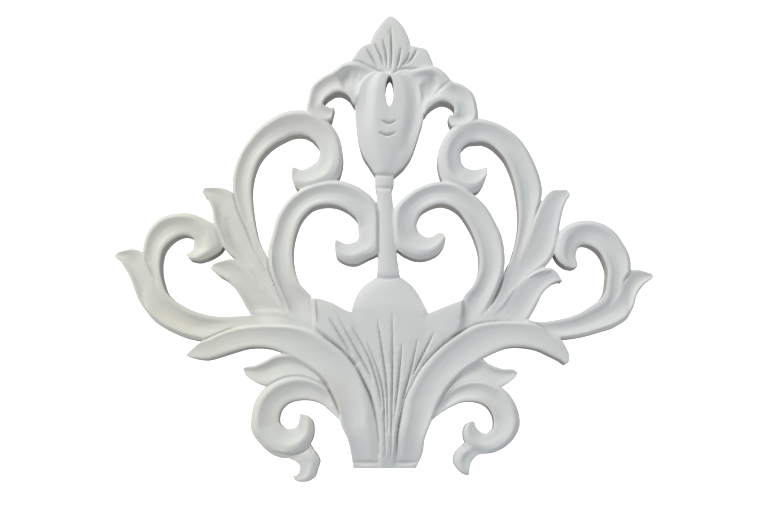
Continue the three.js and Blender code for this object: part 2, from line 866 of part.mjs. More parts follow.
// Everything behind the flat back
function behindSolid() {
  const depth = castingWidth;
  const geometry = new THREE.BoxGeometry(2 * castingWidth, depth, 2 * castingWidth);
  geometry.translate(0, 0.5 * depth, 0);
  return solidFrom(geometry);
}

const polyester = new THREE.MeshStandardMaterial({ color: 0xeeece7, roughness: 0.62, metalness: 0 });

function applique() {
  let casting = null;
  let under = backStock;
  for (const band of Object.values(bands)) {
    const solid = bandSolid(band, under);
    casting = casting === null ? solid : casting.add(solid);
    under += backStep;
  }
  for (const vein of veins) {
    casting = casting.subtract(veinSolid(vein));
  }
  casting = casting.subtract(eyeSolid()).subtract(behindSolid());
  const { vertProperties, triVerts } = casting.getMesh();
  const geometry = new THREE.BufferGeometry();
  geometry.setAttribute("position", new THREE.Float32BufferAttribute(vertProperties, 3));
  geometry.setIndex(Array.from(triVerts));
  geometry.computeVertexNormals();
  const mesh = new THREE.Mesh(geometry, polyester);
  mesh.name = "applique";
  return mesh;
}

const part = new THREE.Group();
part.add(applique());

export default part;
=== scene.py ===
"""A pierced scroll applique cast in off-white polyester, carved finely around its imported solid.

The drawing is in millimetres: across is X, up is Z, and a height stands in front of the flat
back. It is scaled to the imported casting's own width, so the fine casting keeps the frame's size.
"""

from __future__ import annotations

import logging
import math
from dataclasses import dataclass
from enum import Enum

import bpy
import numpy as np
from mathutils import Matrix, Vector


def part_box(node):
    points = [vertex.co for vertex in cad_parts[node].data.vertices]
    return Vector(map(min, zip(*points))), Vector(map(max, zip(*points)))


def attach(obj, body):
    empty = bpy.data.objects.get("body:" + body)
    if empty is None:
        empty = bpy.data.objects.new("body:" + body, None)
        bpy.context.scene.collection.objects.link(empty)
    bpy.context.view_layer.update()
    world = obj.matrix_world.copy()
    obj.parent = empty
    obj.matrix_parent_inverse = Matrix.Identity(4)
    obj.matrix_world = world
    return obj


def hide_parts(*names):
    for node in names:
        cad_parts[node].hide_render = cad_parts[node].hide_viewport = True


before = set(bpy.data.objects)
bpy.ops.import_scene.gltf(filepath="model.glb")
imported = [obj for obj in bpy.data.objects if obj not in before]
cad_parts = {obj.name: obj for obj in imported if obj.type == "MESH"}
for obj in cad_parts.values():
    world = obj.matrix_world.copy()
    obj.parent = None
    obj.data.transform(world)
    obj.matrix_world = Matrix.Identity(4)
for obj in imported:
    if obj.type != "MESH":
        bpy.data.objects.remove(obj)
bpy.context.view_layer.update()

log = logging.getLogger("applique")

NODE = "applique"
BODY = "root"
MM = 0.001
HAIR = 0.000001
FLOOR_GAP = 0.0005

# Small numbers that keep a division or a comparison safe
SLIGHT = 1e-3
TINY = 1e-6
LEAST = 1e-9

# The drawing's own width, and the height of the highest plain rim above the flat back
UNITS_ACROSS = 199.8
RIM_HEIGHT = 10.2

# Sections across a band, from its outer edge, share 0, to its inner edge, share 1. Each knot is
# a share of the width and how far the surface lies below the rim there, as a share of the width.
Section = tuple[tuple[float, float], ...]

RIM: Section = ((0, 0.12), (0.13, 0), (0.29, 0.07), (0.49, 0.125), (0.69, 0.1), (0.87, 0.03), (1, 0.05))
TURN: Section = (
    (0, 0.14), (0.18, 0), (0.36, 0.07), (0.57, 0.14), (0.75, 0.17), (0.9, 0.185), (1, 0.24),
)
LOWER: Section = (
    (0, 0.14), (0.24, 0), (0.42, 0.07), (0.62, 0.13), (0.76, 0.15), (0.9, 0.15), (1, 0.18),
)
CURL: Section = (
    (0, 0.18), (0.2, 0.045), (0.39, 0), (0.51, 0.055), (0.66, 0.12), (0.84, 0.165), (1, 0.22),
)
LEAF: Section = ((0, 0.08), (0.1, 0), (0.2, 0.08), (0.38, 0.13), (0.62, 0.09), (0.88, 0.005), (1, 0))
LEAF_LOW: Section = (
    (0, 0.05), (0.1, 0), (0.2, 0.04), (0.38, 0.07), (0.62, 0.05), (0.88, 0.005), (1, 0),
)
TRUNK_BASE: Section = (
    (0, 0.05), (0.06, 0.03), (0.2, 0.025), (0.34, 0.025), (0.52, 0.025), (0.7, 0.02), (1, 0.02),
)
TRUNK_FOOT: Section = (
    (0, 0.05), (0.06, 0.02), (0.2, 0.07), (0.34, 0.085), (0.52, 0.055), (0.7, 0), (1, 0.1),
)
TRUNK_BEND: Section = (
    (0, 0.05), (0.08, 0.03), (0.25, 0.055), (0.45, 0.07), (0.67, 0.05), (0.88, 0), (1, 0.03),
)
TRUNK_TIP: Section = (
    (0, 0.06), (0.09, 0.025), (0.28, 0.045), (0.5, 0.055), (0.76, 0.035), (0.94, 0), (1, 0.01),
)
TAIL: Section = ((0, 0.14), (0.2, 0.04), (0.38, 0), (0.55, 0.06), (0.7, 0.09), (0.9, 0.1), (1, 0.12))
DOME: Section = (
    (0, 0.13), (0.15, 0.06), (0.35, 0.012), (0.5, 0), (0.65, 0.012), (0.85, 0.06), (1, 0.13),
)
FAN: Section = ((0, 0.02), (0.12, 0.01), (0.3, 0.003), (0.5, 0), (0.7, 0.003), (0.88, 0.01), (1, 0.02))
LOBE: Section = ((0, 0.02), (0.1, 0.004), (0.3, 0), (0.5, 0.01), (0.7, 0.02), (0.88, 0.03), (1, 0.05))
PETAL: Section = (
    (0, 0.05), (0.12, 0.015), (0.3, 0.003), (0.5, 0), (0.7, 0.003), (0.88, 0.015), (1, 0.05),
)
FLAT: Section = ((0, 0), (0.15, 0), (0.3, 0), (0.5, 0), (0.7, 0), (0.85, 0), (1, 0))
BUD_FOOT: Section = (
    (0, 0.1), (0.15, 0.05), (0.38, 0), (0.55, 0.012), (0.72, 0.05), (0.88, 0.07), (1, 0.1),
)
BUD: Section = (
    (0, 0.085), (0.12, 0.055), (0.31, 0), (0.52, 0.014), (0.7, 0.028), (0.89, 0.1), (1, 0.085),
)
BUD_TOP: Section = (
    (0, 0.06), (0.13, 0.06), (0.31, 0), (0.52, 0.025), (0.7, 0.035), (0.89, 0.1), (1, 0.07),
)


class Blend(Enum):
    """How a band meets the carving that already lies there."""

    OVER = "it lies over it, with its own sides showing"
    HIGHER = "whichever stands higher shows"


@dataclass(frozen=True)
class Band:
    """One carved band, swept from its root to its tip.

    Attributes:
        name: What the band is.
        lift: Shares of the full height, spread evenly from root to tip.
        carving: Sections, spread evenly from root to tip.
        stations: Points across the band, each the X and Z of its outer and its inner edge.
        root: Share of the band's length over which it grows out of what lies below it.
        side: Width over which its own sides fall to what lies below, in millimetres.
        blend: How it meets what lies below it.
    """

    name: str
    lift: tuple[float, ...]
    carving: tuple[Section, ...]
    stations: tuple[tuple[float, float, float, float], ...]
    root: float = 0.0
    side: float = 0.5
    blend: Blend = Blend.OVER

    def edges(self, shares: np.ndarray) -> tuple[np.ndarray, np.ndarray]:
        """The outer and the inner edge.

        Args:
            shares: Places along the band, from 0 to 1.

        Returns:
            Two arrays of points, X and Z, in millimetres.
        """
        rows = np.array(self.stations, float)
        return smooth_line(rows[:, :2], shares), smooth_line(rows[:, 2:], shares)

    def heights(self, along: np.ndarray, across: np.ndarray, width: np.ndarray) -> np.ndarray:
        """The carved height above the flat back.

        Args:
            along: Share of the way from root to tip.
            across: Share of the way from the outer to the inner edge.
            width: The band's width there, in millimetres.

        Returns:
            Heights in millimetres.
        """
        levels = 48
        samples = 160
        knots = np.array(self.carving, float)
        rows = np.linspace(0, 1, len(knots))
        shares = np.linspace(0, 1, samples + 1)
        table = np.zeros((levels + 1, samples + 1))
        for level in range(levels + 1):
            at = level / levels
            here = [[np.interp(at, rows, knots[:, k, c]) for c in (0, 1)] for k in range(knots.shape[1])]
            places, drops = np.array(here).T
            table[level] = even_curve(places, drops, shares)
        steps = np.linspace(0, 1, 201)
        lifts = even_curve(np.linspace(0, 1, len(self.lift)), np.array(self.lift), steps)
        lift = np.interp(along, steps, lifts)
        return lift * RIM_HEIGHT - width * bilinear(table, across * samples, along * levels)


BANDS: tuple[Band, ...] = (
    Band(
        "left_web",
        lift=(0.84, 0.84),
        carving=(FLAT, FLAT),
        stations=(
            (-53, -30, -50.8, -23.7), (-44, -33, -44.8, -4), (-34, -36, -36, -20),
            (-24, -38, -26, -24), (-12, -48, -12, -30),
        ),
    ),
    Band(
        "right_web",
        lift=(0.84, 0.84),
        carving=(FLAT, FLAT),
        stations=(
            (54, -30, 50.5, -25.6), (45, -32, 43, -8.4), (34, -35, 35, -20), (24, -38, 25.6, -25),
            (12, -48, 12, -30),
        ),
    ),
    Band(
        "left_outer_scroll",
        lift=(0.8, 0.94, 1, 1, 1, 0.96),
        carving=(RIM, RIM, RIM, RIM, TURN, CURL, CURL),
        root=0.1,
        stations=(
            (-52.5, -31.5, -49.5, -24.4), (-66, -33.9, -58.6, -24.9), (-74, -32.9, -65.1, -24.7),
            (-80, -30.7, -70.8, -23.3), (-85.2, -27.8, -75.3, -21.3), (-89.2, -23.6, -79, -19),
            (-90.8, -19.2, -82.2, -16), (-90.6, -14, -83.7, -12.3), (-90.8, -8, -84.6, -8.1),
            (-91.3, -2.4, -84.6, -3.7), (-90.6, 3.6, -83.5, 0.2), (-88.6, 8.3, -81.3, 2.9),
            (-84.9, 11.8, -78.8, 4.7), (-79.3, 13.4, -76.2, 5.4), (-73.6, 13.4, -74, 4.9),
            (-68.6, 11.4, -72.6, 3.9), (-64.2, 8.7, -72.5, 2.4), (-62.1, 4.3, -72.7, 1.4),
            (-62, 0.5, -72.9, 0.4), (-64.9, -2.2, -73.4, -0.5), (-70.5, -4.3, -74.2, -1.4),
            (-73.9, -3.8, -75.3, -1.9),
        ),
    ),
    Band(
        "right_outer_scroll",
        lift=(0.8, 0.94, 1, 1, 1, 0.96),
        carving=(RIM, RIM, RIM, RIM, TURN, CURL, CURL),
        root=0.1,
        stations=(
            (51, -33, 48.6, -25), (59.2, -33.3, 54.7, -26.9), (66.6, -33, 61.1, -26.3),
            (72.6, -32, 66.9, -25), (78.6, -30.3, 71.5, -23), (84.3, -28.4, 75.1, -20.7),
            (88.4, -25, 78.2, -18.5), (88.8, -19.6, 80, -15.6), (88.4, -14, 80.6, -12),
            (89.4, -8.2, 80.9, -8.2), (89.1, -2.9, 80, -4.7), (86.8, 2.2, 78.4, -1.5),
            (83.2, 7.1, 76.1, 0.7), (78, 10.1, 74, 1.7), (72.5, 10.8, 72.2, 1.9),
            (67.4, 9.6, 70.7, 1.2), (63.8, 7.2, 69.9, -0.2), (62, 2.6, 69.4, -1.6),
            (61.5, -1.5, 69.3, -3.2), (63, -4.5, 69.7, -4.6), (65.8, -6.6, 69.7, -5.9),
            (68.2, -7.1, 69.7, -6.7),
        ),
    ),
    Band(
        "left_outer_leaf",
        lift=(0.9, 0.92, 0.9, 0.84),
        carving=(LEAF, LEAF, LEAF),
        root=0.35,
        stations=(
            (-85, -27.9, -78.8, -21.7), (-89.2, -23.6, -83, -18.6), (-92.3, -19.2, -86, -14),
            (-94.1, -15, -88, -9.4), (-95.9, -10.4, -89.8, -5), (-97.8, -7.1, -91.4, -1.2),
            (-99.6, -4.5, -95, 0.1), (-101.4, -3.1, -99.1, -0.6), (-101.9, -2.3, -100.9, -1.2),
        ),
    ),
    Band(
        "right_outer_leaf",
        lift=(0.9, 0.92, 0.9, 0.84),
        carving=(LEAF, LEAF, LEAF),
        root=0.35,
        stations=(
            (82.2, -29.2, 78, -22), (87.6, -25.8, 82.2, -19.6), (90.3, -21.2, 85, -15.2),
            (91.4, -17.4, 86.9, -11.2), (93.2, -14.5, 89.2, -8.1), (95.2, -12.5, 92, -7.7),
            (97, -11.2, 95, -8.4), (97.9, -10.3, 97.3, -9),
        ),
    ),
    Band(
        "left_lower_leaf",
        lift=(0.66, 0.8, 0.86, 0.86, 0.82),
        carving=(LEAF, LEAF, LEAF),
        root=0.25,
        stations=(
            (-44, -29.5, -36, -27), (-49.6, -26.4, -40, -22.5), (-52.3, -22.4, -44, -18),
            (-54.6, -18.3, -47, -13.1), (-57.3, -14.2, -50.5, -8.6), (-60, -11.6, -54.6, -5.2),
            (-63, -9.8, -58.2, -3.6), (-65, -8, -62.1, -4.3), (-66.2, -6.9, -65.1, -5.3),
        ),
    ),
    Band(
        "right_lower_leaf",
        lift=(0.66, 0.8, 0.86, 0.86, 0.82),
        carving=(LEAF_LOW, LEAF_LOW, LEAF_LOW),
        root=0.25,
        stations=(
            (46, -29.5, 36.5, -26.5), (50.6, -27, 42, -21), (53, -23.7, 45.5, -15.8),
            (55, -20, 49.1, -11.4), (56.6, -16.8, 53.5, -9), (58.9, -14.2, 57.2, -7),
            (61.1, -12.5, 60.5, -7.2), (63.1, -11.8, 62.4, -8.9), (64.2, -12, 63.6, -10.8),
        ),
    ),
    Band(
        "left_upper_leaf",
        lift=(0.7, 0.84, 0.9, 0.94, 0.9),
        carving=(LEAF, LEAF, LEAF),
        root=0.25,
        side=1.6,
        stations=(
            (-41, -24, -37, -24.5), (-45.6, -16.5, -41, -17), (-50.2, -10, -44.6, -9.6),
            (-54.6, -5.2, -47.6, -3), (-58.6, -2.2, -50.2, 3), (-61.6, 1, -52.6, 8),
            (-63.8, 5.5, -54.8, 12.6), (-65.2, 10, -56.6, 17), (-65.9, 15, -58.4, 21.2),
            (-67.5, 18.7, -60.9, 22.7), (-69.3, 20.9, -65, 23.3), (-69.6, 22.2, -68.8, 23.2),
        ),
    ),
    Band(
        "right_upper_leaf",
        lift=(0.7, 0.84, 0.9, 0.94, 0.9),
        carving=(LEAF_LOW, LEAF_LOW, LEAF_LOW),
        root=0.25,
        side=1.6,
        stations=(
            (40.5, -23.5, 36, -23.5), (46, -16, 41.4, -15), (51, -10.9, 43.9, -6.1),
            (55.6, -7.8, 47.4, -0.4), (59.5, -4.7, 50.2, 5), (61.7, -0.4, 52.6, 10),
            (62.8, 5, 54.8, 14.4), (63.7, 9.9, 56.7, 17.7), (64.7, 14.4, 58.7, 20.4),
            (66, 17.9, 60.9, 22.1), (67.3, 19.9, 64, 22.4), (67.5, 20.9, 66.3, 22.3),
        ),
    ),
    Band(
        "left_upper_scroll",
        lift=(0.8, 0.88, 0.96, 1, 1, 1, 0.94),
        carving=(RIM, RIM, RIM, TURN, TURN, CURL, CURL),
        root=0.1,
        stations=(
            (-47, -13, -41.5, -15.2), (-49.4, -4, -45.2, -3), (-52.2, 4, -48.5, 3.9),
            (-55.6, 13, -50.5, 13), (-58.2, 21.4, -51.3, 20), (-58.4, 26.4, -51.2, 25),
            (-57.6, 31, -50.3, 29.6), (-56, 35.6, -48.6, 33.8), (-53.2, 40.6, -46, 37.3),
            (-49.7, 45.2, -42.9, 40), (-45.3, 49, -39.6, 41.9), (-40.2, 51.8, -36.5, 43.3),
            (-34.4, 52.9, -33.5, 43.7), (-28.5, 52, -30.7, 43.1), (-23, 48.5, -28, 41),
            (-19.3, 43.7, -26.2, 38.3), (-17.4, 37.4, -26.1, 35.6), (-17.5, 31.4, -26.9, 33.4),
            (-19.6, 26, -28.7, 32.1), (-24.6, 23.2, -30.9, 30.7), (-30.4, 22, -33.3, 30.3),
            (-34.6, 23.2, -34.8, 30.9), (-36.4, 27, -36.2, 31.2),
        ),
    ),
    Band(
        "right_upper_scroll",
        lift=(0.8, 0.88, 0.96, 1, 1, 1, 0.94),
        carving=(RIM, RIM, RIM, TURN, CURL, CURL, CURL),
        root=0.1,
        stations=(
            (46.6, -12, 42, -13), (50, -3, 45, -4.3), (52.6, 5.6, 47.5, 4), (55.2, 13.6, 48.4, 12),
            (57.2, 21.2, 47.8, 20), (56.6, 26.4, 46.9, 25), (54.9, 31.5, 45.3, 30.1),
            (52.5, 36.6, 43.2, 34.5), (49.1, 41.7, 40.5, 37.7), (44.4, 45.7, 37.8, 39.9),
            (39, 48.4, 35.1, 40.9), (33, 49.6, 32.7, 40.8), (27.6, 48.4, 30.3, 40.6),
            (23.3, 45.6, 28.3, 39.3), (19.9, 40.8, 27, 37.4), (18.2, 35.5, 26.9, 35),
            (18.6, 30, 27.2, 32.8), (20.4, 25.2, 28.5, 31.2), (24.6, 22.4, 30.2, 30.5),
            (29.4, 20.8, 32, 30.2), (33.2, 22, 33.9, 30.5), (35.5, 25, 35.6, 30.9),
            (36.7, 28.2, 36.9, 31.1),
        ),
    ),
    Band(
        "left_lower_tip",
        lift=(0.93, 0.92, 0.9, 0.86),
        carving=(LEAF, LEAF, LEAF),
        stations=(
            (-22.4, -48.6, -20.8, -53), (-28.6, -42.8, -26.8, -50), (-35.8, -39, -33.6, -48.8),
            (-41.2, -39, -39.8, -49.6), (-45.7, -41.2, -43.6, -50.6), (-49.5, -43, -46.9, -50),
            (-52.1, -43.4, -50.5, -48.3), (-53.6, -44, -52.8, -46.4),
        ),
    ),
    Band(
        "right_lower_tip",
        lift=(0.93, 0.92, 0.9, 0.86),
        carving=(LEAF, LEAF, LEAF),
        stations=(
            (18.6, -54, 18, -58.4), (23.4, -48, 22.8, -53.4), (28.8, -43.4, 28, -50.6),
            (33.8, -40.4, 33, -50.2), (36.4, -42.2, 36.6, -50.8), (39.2, -43.5, 39.4, -51.4),
            (42.6, -44.3, 42.4, -50.3), (45.6, -44.5, 45, -48.5), (47.2, -45.6, 46.6, -47),
        ),
    ),
    Band(
        "left_lower_scroll",
        lift=(0.8, 0.9, 0.96, 1, 1, 1, 1, 0.94),
        carving=(RIM, LOWER, LOWER, CURL, CURL),
        root=0.08,
        stations=(
            (-18.6, -57, -17.2, -63.8), (-22.6, -51.4, -21.5, -59.9), (-27.4, -48.2, -25, -57),
            (-33, -46.6, -29, -55.7), (-38.6, -47.2, -32.7, -55.6), (-43, -49.2, -36, -56.3),
            (-46.9, -52.6, -38.3, -57.8), (-49.3, -56.9, -39.7, -59.9), (-50.3, -62, -40.2, -62),
            (-50.1, -67, -40, -63.9), (-47.2, -71.3, -38.9, -65.1), (-43.2, -75, -37.7, -65.8),
            (-38.5, -76.7, -36.4, -66), (-33.8, -75.7, -35.2, -65.9), (-30.2, -73, -34, -65.4),
            (-27.9, -69.6, -33.3, -64.6), (-27.4, -66, -33, -63.4), (-28, -63, -32.7, -61.9),
            (-29.8, -61.2, -32.5, -60.5),
        ),
    ),
    Band(
        "right_lower_scroll",
        lift=(0.8, 0.9, 0.96, 1, 1, 1, 1, 0.94),
        carving=(RIM, RIM, LOWER, CURL, CURL),
        root=0.08,
        stations=(
            (15.4, -58.4, 15.2, -63.5), (20.2, -54.4, 19.5, -60), (24, -50.8, 23.3, -57.9),
            (28.4, -48.8, 27, -56.4), (33.2, -48.4, 30.3, -56.2), (38, -49.6, 33.2, -56.7),
            (42.3, -51.9, 35.5, -57.9), (45.4, -55.7, 37, -59.6), (47.3, -60.4, 38, -61.7),
            (47.6, -65, 38.3, -63.8), (45.5, -69.6, 38, -65.8), (42, -72.9, 36.8, -67.1),
            (37.8, -74.8, 35.6, -67.8), (33.5, -75.1, 34.6, -67.7), (29.8, -73.5, 33.6, -67.3),
            (27.6, -70.5, 32.6, -66.6), (27.1, -67, 31.6, -65.5), (28.2, -64.2, 31.3, -64),
            (29.5, -63.4, 30.6, -63.3),
        ),
    ),
    Band(
        "left_tail",
        lift=(0.94, 0.94, 0.92, 0.9, 0.8),
        carving=(TAIL, TAIL),
        root=0.3,
        stations=(
            (-29.4, -70.4, -38, -73.6), (-27.9, -73, -36, -76.9), (-26.1, -75.4, -34, -77.8),
            (-25.2, -77.6, -32.8, -78.9), (-26, -80.5, -32.5, -80.3), (-27, -83.4, -32.8, -81.7),
            (-29.5, -85.1, -33.3, -82.5), (-32.3, -85.3, -34, -82.9), (-34.2, -84.6, -35.1, -83.1),
        ),
    ),
    Band(
        "right_tail",
        lift=(0.94, 0.94, 0.92, 0.9, 0.8),
        carving=(TAIL, TAIL),
        root=0.3,
        stations=(
            (28.4, -70, 36.4, -73), (26.6, -72.2, 34.5, -75), (24.6, -74, 32.5, -75.5),
            (23.6, -76.1, 31, -76.7), (23.6, -78.4, 29.9, -78.2), (25, -80.6, 29.3, -80.2),
            (26.8, -82.3, 29.1, -82), (28, -82.9, 29, -82.8),
        ),
    ),
    Band(
        "left_inner_scroll",
        lift=(0.76, 0.96, 1, 1.02, 1.02, 1, 1, 0.94),
        carving=(RIM, RIM, RIM, RIM, TURN, CURL, CURL),
        root=0.1,
        stations=(
            (-34, -27.6, -27, -27.6), (-37.2, -23.4, -27.6, -22.4), (-40.2, -18.4, -28.7, -17.7),
            (-42.9, -12.5, -32.8, -13), (-44.4, -6, -35.1, -7), (-44.8, -0.4, -35.7, -1),
            (-43.4, 5.4, -34.9, 5.1), (-41.7, 11.8, -32.5, 11.4), (-38.2, 17.8, -28.7, 15.4),
            (-32.6, 22.6, -24.7, 16.7), (-25.6, 25.2, -20.9, 16.7), (-18.6, 25.8, -17.4, 15.6),
            (-11.7, 23.5, -14.2, 13.6), (-6.2, 19.3, -11.8, 10.8), (-2.9, 13.4, -11.5, 7.4),
            (-2.4, 5, -11.3, 5.1), (-4, -1.2, -12, 3.4), (-8.2, -3.6, -13.4, 2.6),
            (-12.6, -5.5, -15, 2.2), (-16.5, -4.9, -16.7, 2.3), (-19.4, -2.8, -18.4, 3.1),
            (-20.2, 1.1, -19.9, 3.6),
        ),
    ),
    Band(
        "right_inner_scroll",
        lift=(0.76, 0.96, 1, 1.02, 1.02, 1, 1, 0.94),
        carving=(RIM, RIM, RIM, RIM, TURN, CURL, CURL),
        root=0.1,
        stations=(
            (32.6, -27.5, 26, -27.5), (35.6, -23.7, 26.8, -22.4), (38.6, -18.7, 27.6, -17.6),
            (41, -13, 30.9, -13.6), (42.7, -7, 33.2, -8), (42.8, -1, 33.3, -1.5),
            (41.8, 4.8, 31.6, 4.5), (39.3, 10.5, 29, 9.8), (36.2, 15.8, 26, 14),
            (31.5, 20.5, 22.8, 16.2), (25.5, 24.4, 19.7, 17), (18.8, 25.4, 16.7, 16.5),
            (11.8, 23.6, 14, 15.3), (6.2, 20, 12, 13.8), (2.2, 15.8, 10.8, 11.5), (1.2, 7, 10.3, 8.8),
            (2.8, 0.4, 11, 6.7), (6.5, -2.5, 12.4, 5.4), (10.9, -3.8, 14, 4.7), (15, -3.2, 15.7, 4.7),
            (18.5, -1.3, 17.1, 5.6), (20.7, 2, 18.5, 6.2), (21.1, 4.2, 20, 6),
        ),
    ),
    Band(
        "left_trunk",
        lift=(0.72, 1, 1, 1, 1, 0.98, 0.9),
        carving=(TRUNK_BASE, TRUNK_FOOT, TRUNK_BEND, TRUNK_BEND, TRUNK_TIP, TRUNK_TIP, TRUNK_TIP),
        side=0.8,
        stations=(
            (-13.1, -80.3, -2.8, -80.3), (-13.9, -75, -3.4, -75), (-15.1, -70, -3.6, -70),
            (-17.4, -65.1, -4.6, -64.5), (-18.8, -60.2, -5.2, -60), (-20.5, -55.2, -6.6, -55),
            (-22.8, -50, -9, -49.5), (-26.6, -46, -11.6, -44), (-31.5, -42.6, -15.4, -39.3),
            (-36.5, -39.8, -20.4, -35), (-41.5, -37.4, -26.5, -31.2), (-46.5, -36.4, -34, -28.8),
            (-52, -36.6, -42.5, -28.2), (-57.5, -38.1, -51, -28.4), (-62.5, -39.7, -59, -29.9),
            (-67, -40.8, -65.5, -32.6), (-70.6, -40.5, -69.6, -34.8), (-73, -39.9, -72.4, -37.2),
            (-74.2, -39.5, -74.3, -38.8),
        ),
    ),
    Band(
        "right_trunk",
        lift=(0.72, 1, 1, 1, 1, 0.98, 0.9),
        carving=(TRUNK_BASE, TRUNK_FOOT, TRUNK_BEND, TRUNK_BEND, TRUNK_TIP, TRUNK_TIP, TRUNK_TIP),
        stations=(
            (9.8, -80.3, 1.4, -80.3), (12.2, -75, 2, -75), (13, -70, 2.2, -70),
            (14.6, -65.5, 2.8, -65), (16.4, -61.3, 4.2, -60), (18, -57, 5.3, -55.6),
            (20.8, -52.6, 7.7, -51.4), (24.4, -48, 10.2, -46.4), (28.8, -44.4, 14, -41),
            (33.6, -41, 19, -36), (38.7, -38.3, 25, -31.6), (44, -36.4, 32, -28.2),
            (49.5, -36.3, 40, -27), (54.8, -37.3, 48, -27), (59.2, -39.3, 54.4, -27.9),
            (62.8, -41.1, 59, -30.6), (65, -42.5, 63.2, -33.6), (66, -41.4, 64.9, -36.3),
            (66.2, -39.8, 66, -38.6),
        ),
    ),
    Band(
        "fan_left",
        lift=(0.92, 1.02, 1.08, 1.08, 1.04),
        carving=(LOBE, LOBE),
        root=0.25,
        side=0.9,
        stations=(
            (-6.6, -56, -5, -55), (-11.8, -44, -5, -45), (-17.6, -37.2, -7, -37),
            (-23, -33, -9.5, -30), (-27.6, -29, -11.5, -24.8), (-28, -25, -16.6, -22.5),
            (-28.4, -21.4, -20.5, -20.3), (-28.5, -18.3, -25.1, -18.7),
        ),
    ),
    Band(
        "fan_right",
        lift=(0.9, 1, 1.04, 1.04, 0.98),
        carving=(LOBE, LOBE),
        root=0.25,
        stations=(
            (6.6, -56, 4.5, -55), (12.4, -43.5, 5, -45), (18.2, -37, 7, -37), (23, -33, 9.5, -30),
            (26.4, -29.4, 11.8, -25.4), (27, -26, 17.3, -22.8), (27.3, -22.5, 21.5, -21.1),
            (27.3, -19, 25.4, -19.6),
        ),
    ),
    Band(
        "fan_centre",
        lift=(0.72, 1, 1, 1.04, 1.06, 1, 0.9),
        carving=(FAN, FAN, FAN, DOME),
        side=3,
        stations=(
            (-3.6, -80.3, 2.4, -80.3), (-3.8, -74, 2.4, -74), (-4.8, -66, 3.2, -66),
            (-6.9, -58, 5.2, -58), (-9, -48, 8.8, -48), (-12.4, -38, 13, -38),
            (-14.2, -29, 14.8, -29.6), (-13.8, -23.3, 14.4, -24.3), (-13, -20, 12.8, -20.6),
            (-11.4, -16.3, 10.8, -16.8), (-8.7, -13.1, 8.2, -13.3), (-5.1, -10.7, 4.8, -10.6),
        ),
    ),
    Band(
        "stem",
        lift=(0.98, 0.94, 0.94, 0.96),
        carving=(DOME, DOME),
        root=0.15,
        stations=(
            (-5, -13, 4.6, -13), (-4.4, -8, 3.7, -8), (-4.2, -2, 2.9, -2), (-4.3, 8, 2.4, 8),
            (-4.4, 18, 1.4, 18), (-4.7, 21.6, 1, 22), (-5.2, 25, 1.8, 25.5), (-5.1, 29, 1.8, 28.6),
        ),
    ),
    Band(
        "palmette_left",
        lift=(0.9, 0.92, 0.88),
        carving=(PETAL, PETAL),
        stations=(
            (-10, 63, 0, 63), (-14.2, 71.4, -3, 70), (-12.9, 74.1, -5, 74), (-10.5, 77.2, -6, 77.4),
            (-8.1, 78.6, -6.4, 78.9),
        ),
    ),
    Band(
        "palmette_right",
        lift=(0.9, 0.92, 0.88),
        carving=(PETAL, PETAL),
        blend=Blend.HIGHER,
        stations=(
            (13, 62, 1, 63), (16.7, 69.8, 5, 70), (15.8, 73.2, 7, 74), (14, 76.5, 8.2, 77.2),
            (11.3, 77.2, 8, 78.2),
        ),
    ),
    Band(
        "palmette_centre",
        lift=(0.9, 0.94, 0.92, 0.86),
        carving=(PETAL, PETAL),
        blend=Blend.HIGHER,
        stations=(
            (-5, 63, 6, 63), (-6.9, 73.4, 8.2, 73.4), (-7, 78.7, 8.2, 78.3), (-5.9, 82.1, 7.1, 81.9),
            (-3.8, 85.5, 5.3, 85.5), (-1.5, 88.2, 3.1, 88), (-0.2, 89.5, 1.4, 89.5),
        ),
    ),
    Band(
        "left_hook",
        lift=(1.04, 1.06, 1, 1, 0.94),
        carving=(LEAF, RIM, RIM, TURN),
        root=0.12,
        blend=Blend.HIGHER,
        stations=(
            (-5, 68.6, -7, 54), (-12.8, 71.7, -12.7, 54.6), (-17.4, 70.8, -15, 57.8),
            (-21.3, 67.7, -17.7, 59.6), (-25.4, 65.4, -20, 59.7), (-29, 62.1, -22, 58.7),
            (-30.3, 57, -24.2, 56.8), (-30.8, 53, -24.8, 55), (-28.6, 50, -23, 54.1),
            (-24, 48.1, -21.8, 53.8), (-21.6, 49.2, -20.5, 54.2),
        ),
    ),
    Band(
        "right_hook",
        lift=(1.04, 1.06, 1, 1, 0.94),
        carving=(LEAF, RIM, RIM, TURN),
        root=0.12,
        blend=Blend.HIGHER,
        stations=(
            (5.6, 67.6, 7, 52), (12.2, 70, 13.2, 51.1), (17.3, 69.8, 14.7, 53.1), (21.1, 67.2, 17, 55),
            (23.7, 64.1, 19.7, 56.2), (27.9, 62.4, 22.5, 55.6), (31.6, 59.2, 24.4, 53.9),
            (33.2, 54, 24.4, 51.9), (33.3, 49.4, 24, 50.9), (29.6, 46.4, 23.5, 51.1),
            (25.6, 45.8, 22.4, 50.8), (23.5, 46.6, 22.5, 48.6),
        ),
    ),
    Band(
        "flower",
        lift=(1, 1.1, 1.15, 1.14, 1.06),
        carving=(BUD_FOOT, BUD_FOOT, BUD, BUD_TOP, BUD_TOP),
        side=0.9,
        stations=(
            (-5.1, 28.1, 1.9, 27.9), (-7.4, 31.7, 5.4, 31.1), (-10, 36, 8, 34.8),
            (-11.4, 41, 9.8, 39.1), (-12.3, 46.5, 11.5, 44.6), (-12.7, 52, 12.9, 49.6),
            (-12.4, 58, 13.2, 56), (-10.6, 64, 11.4, 63), (-6, 67.6, 6.6, 66.6),
        ),
    ),
)

